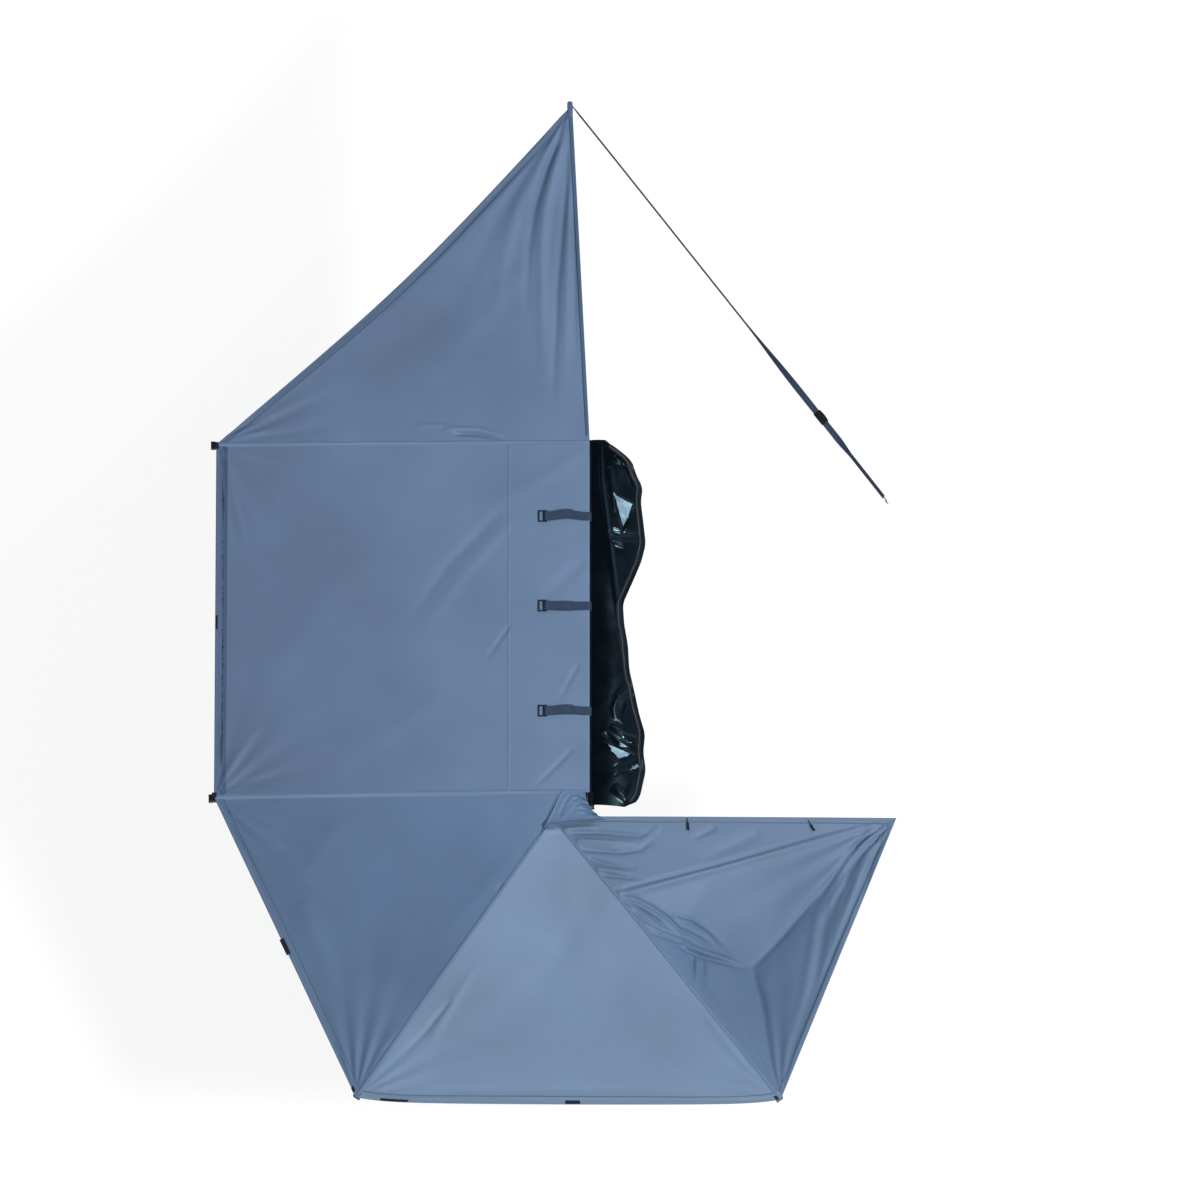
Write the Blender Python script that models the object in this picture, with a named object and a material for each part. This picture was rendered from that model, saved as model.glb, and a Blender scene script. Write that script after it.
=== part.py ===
"""Vehicle side awning that opens through 270 degrees, shown pitched.

Metres, +Z up, +Y towards the front of the vehicle, +X inboard. The origin is on the underside
of the middle mounting bracket's foot. The mount rail lies along Y outboard of the brackets.
One pin at the rail's front end carries the front and first arms, and a bracket at its rear end
carries the other three. The arms stack in levels, so that they fold beside the rail. Each of the
four channel arms holds a telescopic leg that swings down from its tip.
"""

import math

import bmesh
import bpy
from mathutils import Matrix, Vector

# Clearances
FACE_GAP = 0.0003
LEG_GAP = 0.0005
PAST = 0.010  # how far a cutter runs past what it cuts

# Mounting brackets: an L whose foot stands on the rack bar
BRACKET_WIDTH = 0.070
BRACKET_WALL = 0.005
BRACKET_FOOT_LENGTH = 0.100
BRACKET_HEIGHT = 0.112
BRACKET_TOE = 0.014  # from the upright's inboard face to the origin
BRACKET_SPACING = 0.750
BRACKET_SLOT_WIDTH = 0.009
BRACKET_SLOT_LENGTH = 0.050
BRACKET_SLOT_START = 0.014
GUSSET_WALL = 0.004
GUSSET_REACH = 0.034
BOLT_RADIUS = 0.004
BOLT_SPREAD = 0.030
BOLT_END = 0.003
NUT_RADIUS = 0.0075
NUT_HEIGHT = 0.0065

# Mount rail: an aluminium extrusion
RAIL_LENGTH = 2.106
RAIL_WIDTH = 0.038
RAIL_HEIGHT = 0.065
RAIL_BOTTOM = 0.055
RAIL_WALL = 0.0025
RAIL_EDGE = 0.004
T_SLOT_MOUTH = 0.009
T_SLOT_HEAD = 0.018
T_SLOT_LIP = 0.003
T_SLOT_DEPTH = 0.010
T_SLOT_RISE = 0.033  # middle of the slot over the rail's bottom
KEDER_RADIUS = 0.0045
KEDER_MOUTH = 0.0036
KEDER_IN = 0.012  # middle of the groove from the rail's outboard face
KEDER_DEPTH = 0.008
BEAD_RADIUS = 0.0035
BEAD_TAIL = 0.0018
BEAD_INSET = 0.006
END_CAP_WALL = 0.003
END_CAP_PLUG = 0.012

# Pivots
PIN_RADIUS = 0.006
PIN_HEAD_RADIUS = 0.0105
PIN_HEAD_HEIGHT = 0.004
PIN_BORE_GAP = 0.0004
RING_INSET = 0.003
PIVOT_PLATE = 0.005
PIVOT_PLATE_MARGIN = 0.023
PIVOT_WEB = 0.005
FRONT_PIVOT_OUT = 0.050  # pivots are measured outboard from the rail's outboard face
FRONT_PIVOT_Y = 1.040
SIDE_PIVOT_OUT = 0.105
SIDE_PIVOT_Y = -0.985
HUB_OUT = 0.187
HUB_Y = -1.114
WEB_LENGTH = 0.110
HUB_WEB_RISE = 0.030  # of the web over the rail's bottom, under the cloth
FRONT_WEB_LENGTH = 0.066

# Arms: bearings in degrees anticlockwise from +X, seen from above
STACK_TOP = 0.115
LEVEL_GAP = 0.004
CHANNEL_WIDTH = 0.034
CHANNEL_HEIGHT = 0.030
CHANNEL_WALL = 0.002
CHANNEL_SHOULDER = 0.0024
TUBE_WIDTH = 0.024
TUBE_HEIGHT = 0.020
TUBE_EDGE = 0.003
TUBE_CLEAR = 0.004  # from the front arm's eye to its tube
BARREL_RADIUS = 0.017
FRONT_BARREL_RADIUS = 0.014
CHANNEL_START = 0.022
TONGUE_END = 0.070
TONGUE_BEVEL = 0.006
KNUCKLE_RIB = 0.0035
CAP_LENGTH = 0.025
CAP_WALL = 0.0015
CAP_END_WALL = 0.004
TIP_PLUG_DROP = 0.004  # of the plug below the channel's web
TIP_PLUG_LIFT = 0.002  # of the plug over the channel's lips
CHEEK_REACH = 0.009  # of the cheeks past the leg's pin
LUG_REACH = 0.013
LUG_RADIUS = 0.009
LUG_EYE_RADIUS = 0.004
FRONT_ARM_REACH = 1.960
FRONT_ARM_BEARING = 91.3
ARM_1_REACH = 1.985
ARM_1_BEARING = 180.0
ARM_2_REACH = 1.938
ARM_2_BEARING = 180.0
ARM_3_BEARING = 236.2
ARM_4_BEARING = 307.8
REAR_DEPTH = 1.580  # from the hub's pin back to the tips of arms 3 and 4, at the rear hem

# Legs: measured from the leg's pin along the leg
LEG_RADIUS = 0.012
LEG_WALL = 0.0014
LEG_LENGTH = 1.175
LEG_PIN_FROM_TIP = 0.045
LEG_PIN_DROP = 0.016
LEG_PIN_RADIUS = 0.004
LEG_HEAD = 0.0062
COLLAR_RADIUS = 0.0132
COLLAR_LENGTH = 0.050
COLLAR_GRIP = 0.035  # of the collar on the outer tube
COLLAR_BEVEL = 0.0024
INNER_RADIUS = 0.0100
INNER_WALL = 0.0012
INNER_START = 0.470
FOOT_RADIUS = 0.0120
FOOT_LENGTH = 0.034
FOOT_SOCKET = 0.020
FOOT_CLEAR = 0.006  # from the twist lock to the foot, pushed in
FOOT_PAD = 0.010
FOOT_BEVEL = 0.002

# Canopy
CLOTH = 0.002
SEAM_GAP = 0.0003
CLOTH_LIFT = 0.002  # underside of the cloth over the top of an arm, clear of the tip cap
CLOTH_TOP = 0.131  # along the rail
HUB_CLOTH_TOP = 0.100
FLAT_SHARE = 0.13  # share of the way out that stays level beside the rail
HEM_INSET = 0.010
DROP_POWER = 1.25
FRONT_HEM_BOW = 0.062
CORNER_FLARE = 0.014  # of the front panel's edge past its seam, at the rail
REAR_HEM_BOW = 0.018
PANEL_SAG = 0.012
GATHER_RADIUS = 0.126
GATHER_HOLE = 0.022
GATHER_GAP = 0.0008  # the panels' inner edges are chords of the ring
GATHER_CLOTH_DIP = 0.020
PUCKERS = 13
PUCKER_DEPTH = 0.0035
TAIL_CORNER_X = 1.609
TAIL_CORNER_Y = -1.096
TAIL_CORNER_Z = 0.030
TAIL_SAG = 0.340
TAIL_FOLDS = 4
TAIL_FOLD_DEPTH = 0.022

# Cover bag, lying inboard of the rail
BAG_REACH = 0.262
BAG_LENGTH = 2.080
BAG_WALL = 0.004
BAG_CREST = 0.016
BAG_EDGE_Z = 0.030
BAG_WAIST = 0.085
BAG_WAIST_SPAN = 0.28
BAG_WAIST_DEPTH = 0.42
BAG_END_SHARE = 0.72
BAG_FLAT = 0.08  # share of the bag that lies level on the rail
BAG_RIPPLE = 0.006
BAG_ROOT = 0.012
ZIP_WIDTH = 0.012
ZIP_WALL = 0.003

# Closing straps
STRAP_WIDTH = 0.050
STRAP_WALL = 0.002
STRAP_REACH = 0.234
STRAP_FOOT_SET = 0.004  # from the keder groove
STRAP_TURN = 0.003
STRAP_TAIL = 0.006
STRAP_YS = (0.610, 0.092, -0.515)
BUCKLE_LENGTH = 0.048
BUCKLE_WIDTH = 0.066
BUCKLE_SHOWS = 0.035  # beyond the webbing's end
BUCKLE_EYE = 0.019  # the open window that the bag's other strap threads through
BUCKLE_BAR = 0.007
BUCKLE_WALL = 0.004
BUCKLE_CORNER = 0.005

# Tension strap from the front arm's tip to the rack's far front corner
TENSION_WIDTH = 0.035
TENSION_WALL = 0.003
TENSION_LIFT = 0.0009  # over the cloth at the tip, which rises a little inboard
TENSION_END_X = 1.545
TENSION_END_Y = 0.752
TENSION_END_Z = 0.050
TENSION_SAG = 0.012
TENSION_BUCKLE_SHARE = 0.80
TENSION_BUCKLE_LENGTH = 0.080
TENSION_BUCKLE_HEIGHT = 0.016
TENSION_BUCKLE_SIDE = 0.005  # of the buckle beside the webbing
HOOK_WIRE = 0.0035
HOOK_RADIUS = 0.013
HOOK_SHANK = 0.030

# Worked out from the sizes above
RAIL_BACK = -BRACKET_TOE - BRACKET_WALL - FACE_GAP
RAIL_FACE = RAIL_BACK - RAIL_WIDTH
RAIL_TOP = RAIL_BOTTOM + RAIL_HEIGHT
RAIL_HALF = RAIL_LENGTH / 2
T_SLOT_Z = RAIL_BOTTOM + T_SLOT_RISE
KEDER_X = RAIL_FACE + KEDER_IN
KEDER_Z = RAIL_TOP - KEDER_DEPTH
FRONT_PIVOT = Vector((RAIL_FACE - FRONT_PIVOT_OUT, FRONT_PIVOT_Y, 0))
SIDE_PIVOT = Vector((RAIL_FACE - SIDE_PIVOT_OUT, SIDE_PIVOT_Y, 0))
HUB_PIVOT = Vector((RAIL_FACE - HUB_OUT, HUB_Y, 0))
FRONT_ARM_TOP = STACK_TOP
ARM_1_TOP = FRONT_ARM_TOP - TUBE_HEIGHT - LEVEL_GAP
PLATE_TOP = ARM_1_TOP - CHANNEL_HEIGHT - LEVEL_GAP
ARM_2_TOP = PLATE_TOP - PIVOT_PLATE - LEVEL_GAP / 2
ARM_3_TOP = ARM_2_TOP - CHANNEL_HEIGHT - LEVEL_GAP
ARM_4_TOP = ARM_3_TOP - CHANNEL_HEIGHT - LEVEL_GAP
HUB_FLOOR_TOP = ARM_4_TOP - CHANNEL_HEIGHT - LEVEL_GAP / 2
FRONT_ROOF_BOTTOM = FRONT_ARM_TOP + LEVEL_GAP
ARM_3_REACH = -REAR_DEPTH / math.sin(math.radians(ARM_3_BEARING))
ARM_4_REACH = -REAR_DEPTH / math.sin(math.radians(ARM_4_BEARING))
SIDES = 16
SMALL_SIDES = 12


def clear_scene():
    for old in list(bpy.data.objects):
        bpy.data.objects.remove(old, do_unlink=True)


def material(name, colour, roughness, metallic=0.0):
    """A Principled material with one colour."""
    made = bpy.data.materials.new(name)
    made.use_nodes = True
    shader = made.node_tree.nodes["Principled BSDF"]
    shader.inputs["Base Color"].default_value = (*colour, 1.0)
    shader.inputs["Roughness"].default_value = roughness
    shader.inputs["Metallic"].default_value = metallic
    made.diffuse_color = (*colour, 1.0)
    return made


def new_object(name, mesh, parent=None, smooth=False):
    """Links a mesh as an object, under an empty if one is given."""
    made = bpy.data.objects.new(name, mesh)
    bpy.context.scene.collection.objects.link(made)
    made.parent = parent
    if smooth:
        mesh.shade_smooth()
        mesh.set_sharp_from_angle(angle=math.radians(35))
    return made


def empty(name, place, bearing=0.0, parent=None):
    """An empty on a joint's axis, turned about Z."""
    made = bpy.data.objects.new(name, None)
    bpy.context.scene.collection.objects.link(made)
    made.parent = parent
    made.location = place
    made.rotation_euler = (0, 0, math.radians(bearing))
    return made


def mesh_of(bm, name="shape"):
    bmesh.ops.recalc_face_normals(bm, faces=bm.faces)
    mesh = bpy.data.meshes.new(name)
    bm.to_mesh(mesh)
    bm.free()
    return mesh


def placed(axis, a, b, along):
    """A profile's point (a, b) at a distance along X, Y or Z."""
    return {"X": (along, a, b), "Y": (a, along, b), "Z": (a, b, along)}[axis]


def skinned(rings):
    """A closed tube through rings of corners, with flat ends."""
    bm = bmesh.new()
    loops = [[bm.verts.new(corner) for corner in ring] for ring in rings]
    bm.faces.new(loops[0])
    bm.faces.new(loops[-1])
    count = len(loops[0])
    for loop, after in zip(loops, loops[1:]):
        for k in range(count):
            n = (k + 1) % count
            bm.faces.new((loop[k], loop[n], after[n], after[k]))
    return mesh_of(bm)


def slab(surface, across, along, wall):
    """A sheet of even thickness over a grid; surface(u, v) gives its upper side."""
    bm = bmesh.new()
    upper, lower = [], []
    for i in range(across + 1):
        row = [surface(i / across, j / along) for j in range(along + 1)]
        upper.append([bm.verts.new(p) for p in row])
        lower.append([bm.verts.new((p[0], p[1], p[2] - wall)) for p in row])
    for i in range(across):
        for j in range(along):
            for grid in (upper, lower):
                a, b, c, d = grid[i][j], grid[i + 1][j], grid[i + 1][j + 1], grid[i][j + 1]
                bm.faces.new((a, b, c))
                bm.faces.new((a, c, d))
    edge = [(i, 0) for i in range(across)] + [(across, j) for j in range(along)]
    edge += [(i, along) for i in range(across, 0, -1)] + [(0, j) for j in range(along, 0, -1)]
    for (i, j), (k, m) in zip(edge, edge[1:] + edge[:1]):
        bm.faces.new((upper[i][j], upper[k][m], lower[k][m], lower[i][j]))
    return mesh_of(bm)


def extruded(outline, low, high, axis="Z"):
    """A closed outline drawn out between two distances along an axis."""
    return skinned([[placed(axis, a, b, h) for a, b in outline] for h in (low, high)])


def circle(radius, centre=(0, 0), sides=SIDES, start=0.0):
    steps = (start + math.tau * i / sides for i in range(sides))
    return [(centre[0] + radius * math.cos(t), centre[1] + radius * math.sin(t)) for t in steps]


def rectangle(low, high):
    return [(low[0], low[1]), (high[0], low[1]), (high[0], high[1]), (low[0], high[1])]


def rounded(low, high, radius, steps=3):
    """A rectangle with quarter-circle corners."""
    points = []
    corners = (
        (high[0] - radius, high[1] - radius, 0),
        (low[0] + radius, high[1] - radius, 90),
        (low[0] + radius, low[1] + radius, 180),
        (high[0] - radius, low[1] + radius, 270),
    )
    for x, y, start in corners:
        for i in range(steps + 1):
            t = math.radians(start + 90 * i / steps)
            points.append((x + radius * math.cos(t), y + radius * math.sin(t)))
    return points


def hull_outline(centres, radius, sides=SIDES):
    """The convex outline round circles of one radius."""
    cloud = sorted({(round(x, 7), round(y, 7)) for c in centres for x, y in circle(radius, c, sides)})

    def chain(points):
        kept = []
        for p in points:
            while len(kept) > 1:
                (ax, ay), (bx, by) = kept[-2], kept[-1]
                if (bx - ax) * (p[1] - ay) - (by - ay) * (p[0] - ax) > 1e-12:
                    break
                kept.pop()
            kept.append(p)
        return kept[:-1]

    return chain(cloud) + chain(cloud[::-1])


def combined(base, other, operation):
    """One mesh joined with, or cut by, another."""
    a = new_object("base", base)
    b = new_object("other", other)
    modifier = a.modifiers.new("boolean", "BOOLEAN")
    modifier.object = b
    modifier.operation = operation
    modifier.solver = "EXACT"
    graph = bpy.context.evaluated_depsgraph_get()
    result = bpy.data.meshes.new_from_object(a.evaluated_get(graph))
    for used in (a, b):
        bpy.data.objects.remove(used, do_unlink=True)
    return result


def joined(base, *others):
    for other in others:
        base = combined(base, other, "UNION")
    return base


def cut(base, *others):
    for other in others:
        base = combined(base, other, "DIFFERENCE")
    return base


def part(name, mesh, finish, parent=None, smooth=True):
    made = new_object(name, mesh, parent, smooth)
    made.data.materials.clear()
    made.data.materials.append(finish)
    return made


# Finishes
ALUMINIUM = material("anodised_aluminium", (0.62, 0.63, 0.65), 0.35, 0.9)
BLACK_ALUMINIUM = material("black_powder_coat", (0.02, 0.02, 0.022), 0.45, 0.3)
STEEL = material("zinc_plated_steel", (0.55, 0.56, 0.57), 0.3, 1.0)
BLACK_STEEL = material("black_coated_steel", (0.025, 0.025, 0.027), 0.5, 0.4)
PLASTIC = material("black_nylon_moulding", (0.018, 0.018, 0.02), 0.45)
RUBBER = material("black_rubber", (0.015, 0.015, 0.015), 0.8)
CANVAS = material("slate_blue_ripstop", (0.13, 0.2, 0.3), 0.8)
PALE_CANVAS = material("pale_slate_ripstop", (0.19, 0.27, 0.4), 0.8)
WEBBING = material("black_webbing", (0.02, 0.021, 0.024), 0.85)
COVER = material("black_pvc", (0.012, 0.012, 0.013), 0.25)


def rail():
    """Extrusion with a keder groove on top, a T slot behind and two hollow chambers."""
    low, high = -RAIL_HALF, RAIL_HALF
    body = extruded(rounded((RAIL_FACE, RAIL_BOTTOM), (RAIL_BACK, RAIL_TOP), RAIL_EDGE), low, high, "Y")
    groove = extruded(circle(KEDER_RADIUS, (KEDER_X, KEDER_Z), 16), low - PAST, high + PAST, "Y")
    mouth = extruded(
        rectangle((KEDER_X - KEDER_MOUTH / 2, KEDER_Z), (KEDER_X + KEDER_MOUTH / 2, RAIL_TOP + PAST)),
        low - PAST,
        high + PAST,
        "Y",
    )
    slot = t_slot_outline(RAIL_BACK + PAST)
    slot = extruded(slot, low - PAST, high + PAST, "Y")
    t_slot_floor = RAIL_BACK - T_SLOT_DEPTH
    main = extruded(
        rounded(
            (RAIL_FACE + RAIL_WALL, RAIL_BOTTOM + RAIL_WALL),
            (t_slot_floor - RAIL_WALL, KEDER_Z - KEDER_RADIUS - RAIL_WALL),
            RAIL_EDGE / 2,
        ),
        low - PAST,
        high + PAST,
        "Y",
    )
    side = extruded(
        rounded(
            (t_slot_floor, RAIL_BOTTOM + RAIL_WALL),
            (RAIL_BACK - RAIL_WALL, T_SLOT_Z - T_SLOT_HEAD / 2 - RAIL_WALL),
            RAIL_EDGE / 2,
        ),
        low - PAST,
        high + PAST,
        "Y",
    )
    part("mount_rail", cut(body, groove, mouth, slot, main, side), BLACK_ALUMINIUM)


def t_slot_outline(mouth_x):
    """The T slot's outline in X and Z, out to mouth_x."""
    lip_x, floor_x = RAIL_BACK - T_SLOT_LIP, RAIL_BACK - T_SLOT_DEPTH
    half_mouth, half_head = T_SLOT_MOUTH / 2, T_SLOT_HEAD / 2
    half = [(mouth_x, half_mouth), (lip_x, half_mouth), (lip_x, half_head), (floor_x, half_head)]
    upper = [(x, T_SLOT_Z + z) for x, z in half]
    lower = [(x, T_SLOT_Z - z) for x, z in reversed(half)]
    return upper + lower


def rail_end_caps():
    """A plate over each end of the rail, with a plug in the main chamber."""
    plug_low = (RAIL_FACE + RAIL_WALL + LEG_GAP, RAIL_BOTTOM + RAIL_WALL + LEG_GAP)
    plug_high = (
        RAIL_BACK - T_SLOT_DEPTH - RAIL_WALL - LEG_GAP,
        KEDER_Z - KEDER_RADIUS - RAIL_WALL - LEG_GAP,
    )
    for name, side in (("rail_end_cap_rear", -1), ("rail_end_cap_front", 1)):
        near, far = side * (RAIL_HALF + FACE_GAP), side * (RAIL_HALF + FACE_GAP + END_CAP_WALL)
        plate = extruded(
            rounded((RAIL_FACE, RAIL_BOTTOM), (RAIL_BACK, RAIL_TOP), RAIL_EDGE),
            min(near, far),
            max(near, far),
            "Y",
        )
        inside = side * (RAIL_HALF - END_CAP_PLUG)
        over = side * (RAIL_HALF + FACE_GAP + END_CAP_WALL / 2)
        plug = extruded(
            rounded(plug_low, plug_high, RAIL_EDGE / 2), min(inside, over), max(inside, over), "Y"
        )
        part(name, joined(plate, plug), PLASTIC)


def bracket(name, y):
    """An L bracket with two gussets, a slotted foot and the two bolts that hold the rail."""
    back, front = -BRACKET_TOE, BRACKET_FOOT_LENGTH - BRACKET_TOE
    half = BRACKET_WIDTH / 2
    ell = [
        (back - BRACKET_WALL, 0),
        (front, 0),
        (front, BRACKET_WALL),
        (back, BRACKET_WALL),
        (back, BRACKET_HEIGHT),
        (back - BRACKET_WALL, BRACKET_HEIGHT),
    ]
    body = extruded(ell, y - half, y + half, "Y")
    gusset = [
        (back - BRACKET_WALL / 2, BRACKET_WALL / 2),
        (back + GUSSET_REACH, BRACKET_WALL / 2),
        (back + GUSSET_REACH, BRACKET_WALL),
        (back, BRACKET_WALL + GUSSET_REACH * 1.4),
        (back - BRACKET_WALL / 2, BRACKET_WALL + GUSSET_REACH * 1.4),
    ]
    ribs = [extruded(gusset, y - half, y - half + GUSSET_WALL, "Y")]
    ribs.append(extruded(gusset, y + half - GUSSET_WALL, y + half, "Y"))
    start = BRACKET_SLOT_START + BRACKET_SLOT_WIDTH / 2
    end = BRACKET_SLOT_START + BRACKET_SLOT_LENGTH - BRACKET_SLOT_WIDTH / 2
    slot_shape = hull_outline(((start, y), (end, y)), BRACKET_SLOT_WIDTH / 2, SMALL_SIDES)
    slot = extruded(slot_shape, -BRACKET_WALL, 2 * BRACKET_WALL)
    bolts = [rail_bolt(y + side * BOLT_SPREAD / 2) for side in (-1, 1)]
    part(name, joined(cut(joined(body, *ribs), slot), *bolts), BLACK_STEEL)


def rail_bolt(y):
    """A T-head bolt from the rail's slot through a bracket, with its nut."""
    back = -BRACKET_TOE
    head_high = RAIL_BACK - T_SLOT_LIP - FACE_GAP
    head_low = RAIL_BACK - T_SLOT_DEPTH + LEG_GAP
    half = T_SLOT_HEAD / 2 - LEG_GAP
    head_shape = rectangle((y - half / 2, T_SLOT_Z - half), (y + half / 2, T_SLOT_Z + half))
    head = extruded(head_shape, head_low, head_high, "X")
    middle = (head_low + head_high) / 2
    shaft = circle(BOLT_RADIUS, (y, T_SLOT_Z), SMALL_SIDES)
    shank = extruded(shaft, middle, back + NUT_HEIGHT + BOLT_END, "X")
    nut = extruded(circle(NUT_RADIUS, (y, T_SLOT_Z), 6), back - BRACKET_WALL / 2, back + NUT_HEIGHT, "X")
    return joined(head, shank, nut)


def keder_bead():
    """The round bead in the rail's groove, with the tail that the cloth is sewn to."""
    low, high = SIDE_PIVOT_Y + BEAD_INSET, FRONT_PIVOT_Y - BEAD_INSET
    bead = extruded(circle(BEAD_RADIUS, (KEDER_X, KEDER_Z), SMALL_SIDES), low, high, "Y")
    tail_top = CLOTH_TOP - CLOTH - FACE_GAP
    tail_shape = rectangle((KEDER_X - BEAD_TAIL / 2, KEDER_Z), (KEDER_X + BEAD_TAIL / 2, tail_top))
    tail = extruded(tail_shape, low, high, "Y")
    part("keder_bead", joined(bead, tail), WEBBING)


def pivot_bracket(name, pins, web_low, web_high, floor_top, roof_bottom, web_bottom, web_top):
    """A floor and a roof plate on a web against the rail's face, bored for the pins."""
    face = RAIL_FACE - FACE_GAP
    margin = PIVOT_PLATE_MARGIN
    corner = face - margin
    feet = [(corner, web_low + margin), (corner, web_high - margin)]
    outline = hull_outline([(p.x, p.y) for p in pins] + feet, margin)
    floor = extruded(outline, floor_top - PIVOT_PLATE, floor_top)
    roof = extruded(outline, roof_bottom, roof_bottom + PIVOT_PLATE)
    web = extruded(rectangle((face - PIVOT_WEB, web_low), (face, web_high)), web_bottom, web_top)
    bores = []
    for p in pins:
        hole = circle(PIN_RADIUS + PIN_BORE_GAP, (p.x, p.y), SMALL_SIDES)
        bores.append(extruded(hole, floor_top - 2 * PIVOT_PLATE, roof_bottom + 2 * PIVOT_PLATE))
    part(name, cut(joined(web, floor, roof), *bores), BLACK_STEEL)


def pin(name, place, bottom, top, rooms):
    """A pin through a bracket's two plates, with its lock nut and the rings that space the arms.

    rooms are the low and high ends of the spaces that the rings fill.
    """
    centre = (place.x, place.y)
    shaft_low, shaft_high = bottom - NUT_HEIGHT - BOLT_END, top + PIN_HEAD_HEIGHT / 2
    shaft = extruded(circle(PIN_RADIUS, centre, SMALL_SIDES), shaft_low, shaft_high)
    head_low = top + FACE_GAP
    head = extruded(circle(PIN_HEAD_RADIUS, centre, SMALL_SIDES), head_low, head_low + PIN_HEAD_HEIGHT)
    nut_high = bottom - FACE_GAP
    nut = extruded(circle(PIN_HEAD_RADIUS, centre, 6), nut_high - NUT_HEIGHT, nut_high)
    ring = circle(BARREL_RADIUS - RING_INSET, centre)
    rings = [extruded(ring, low + FACE_GAP, high - FACE_GAP) for low, high in rooms]
    part(name, joined(shaft, head, nut, *rings), STEEL)


def pivots():
    """Both pivot brackets with their pins."""
    front_roof_top = FRONT_ROOF_BOTTOM + PIVOT_PLATE
    hub_roof_bottom = PLATE_TOP - PIVOT_PLATE
    pivot_bracket(
        "front_pivot_bracket",
        [FRONT_PIVOT],
        RAIL_HALF - FRONT_WEB_LENGTH,
        RAIL_HALF,
        PLATE_TOP,
        FRONT_ROOF_BOTTOM,
        RAIL_BOTTOM - PIVOT_PLATE,
        front_roof_top,
    )
    pivot_bracket(
        "hub_bracket",
        [SIDE_PIVOT, HUB_PIVOT],
        -RAIL_HALF,
        -RAIL_HALF + WEB_LENGTH,
        HUB_FLOOR_TOP,
        hub_roof_bottom,
        HUB_FLOOR_TOP - PIVOT_PLATE,
        RAIL_BOTTOM + HUB_WEB_RISE,
    )
    hub_floor = HUB_FLOOR_TOP - PIVOT_PLATE
    pin(
        "pivot_pin_front",
        FRONT_PIVOT,
        PLATE_TOP - PIVOT_PLATE,
        front_roof_top,
        (
            (FRONT_ARM_TOP, FRONT_ROOF_BOTTOM),
            (ARM_1_TOP, FRONT_ARM_TOP - TUBE_HEIGHT),
            (PLATE_TOP, ARM_1_TOP - CHANNEL_HEIGHT),
        ),
    )
    pin(
        "pivot_pin_side",
        SIDE_PIVOT,
        hub_floor,
        PLATE_TOP,
        ((ARM_2_TOP, hub_roof_bottom), (HUB_FLOOR_TOP, ARM_2_TOP - CHANNEL_HEIGHT)),
    )
    pin(
        "pivot_pin_hub",
        HUB_PIVOT,
        hub_floor,
        PLATE_TOP,
        (
            (ARM_3_TOP, hub_roof_bottom),
            (ARM_4_TOP, ARM_3_TOP - CHANNEL_HEIGHT),
            (HUB_FLOOR_TOP, ARM_4_TOP - CHANNEL_HEIGHT),
        ),
    )


def knuckle(name, radius, height, width, wall, parent):
    """The cast end of an arm: an eye on the pin and a ribbed tongue inside the section."""
    half = width / 2 - wall - FACE_GAP
    eye = extruded(circle(radius), -height, 0)
    tongue = extruded(
        [(0, -half), (TONGUE_END - TONGUE_BEVEL, -half), (TONGUE_END, -half + TONGUE_BEVEL)]
        + [(TONGUE_END, half - TONGUE_BEVEL), (TONGUE_END - TONGUE_BEVEL, half), (0, half)],
        -height + wall + FACE_GAP,
        -wall - FACE_GAP,
    )
    body = joined(eye, tongue)
    bore = extruded(circle(PIN_RADIUS + PIN_BORE_GAP, sides=SMALL_SIDES), -height - PAST, PAST)
    pockets = []
    rib = KNUCKLE_RIB
    for side in (-1, 1):
        low, high = sorted((side * rib / 2, side * (half - rib)))
        shape = rounded((radius + rib, low), (TONGUE_END - 2 * rib, high), rib / 2, 2)
        pockets.append(extruded(shape, -height - PAST, -wall - FACE_GAP - rib))
    part(name, cut(body, bore, *pockets), ALUMINIUM, parent)


def channel(name, reach, parent):
    """The arm: a channel open below, with rounded shoulders."""
    half, wall, shoulder = CHANNEL_WIDTH / 2, CHANNEL_WALL, CHANNEL_SHOULDER
    outer = [(-half, -CHANNEL_HEIGHT), (-half, -shoulder), (-half + shoulder, 0)]
    outer += [(half - shoulder, 0), (half, -shoulder), (half, -CHANNEL_HEIGHT)]
    inner = [(half - wall, -CHANNEL_HEIGHT), (half - wall, -wall)]
    inner += [(-half + wall, -wall), (-half + wall, -CHANNEL_HEIGHT)]
    mesh = extruded(outer + inner, CHANNEL_START, reach - CAP_END_WALL - FACE_GAP, "X")
    part(name, mesh, ALUMINIUM, parent)


def box(low, high):
    return extruded(rectangle(low[:2], high[:2]), low[2], high[2])


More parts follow.
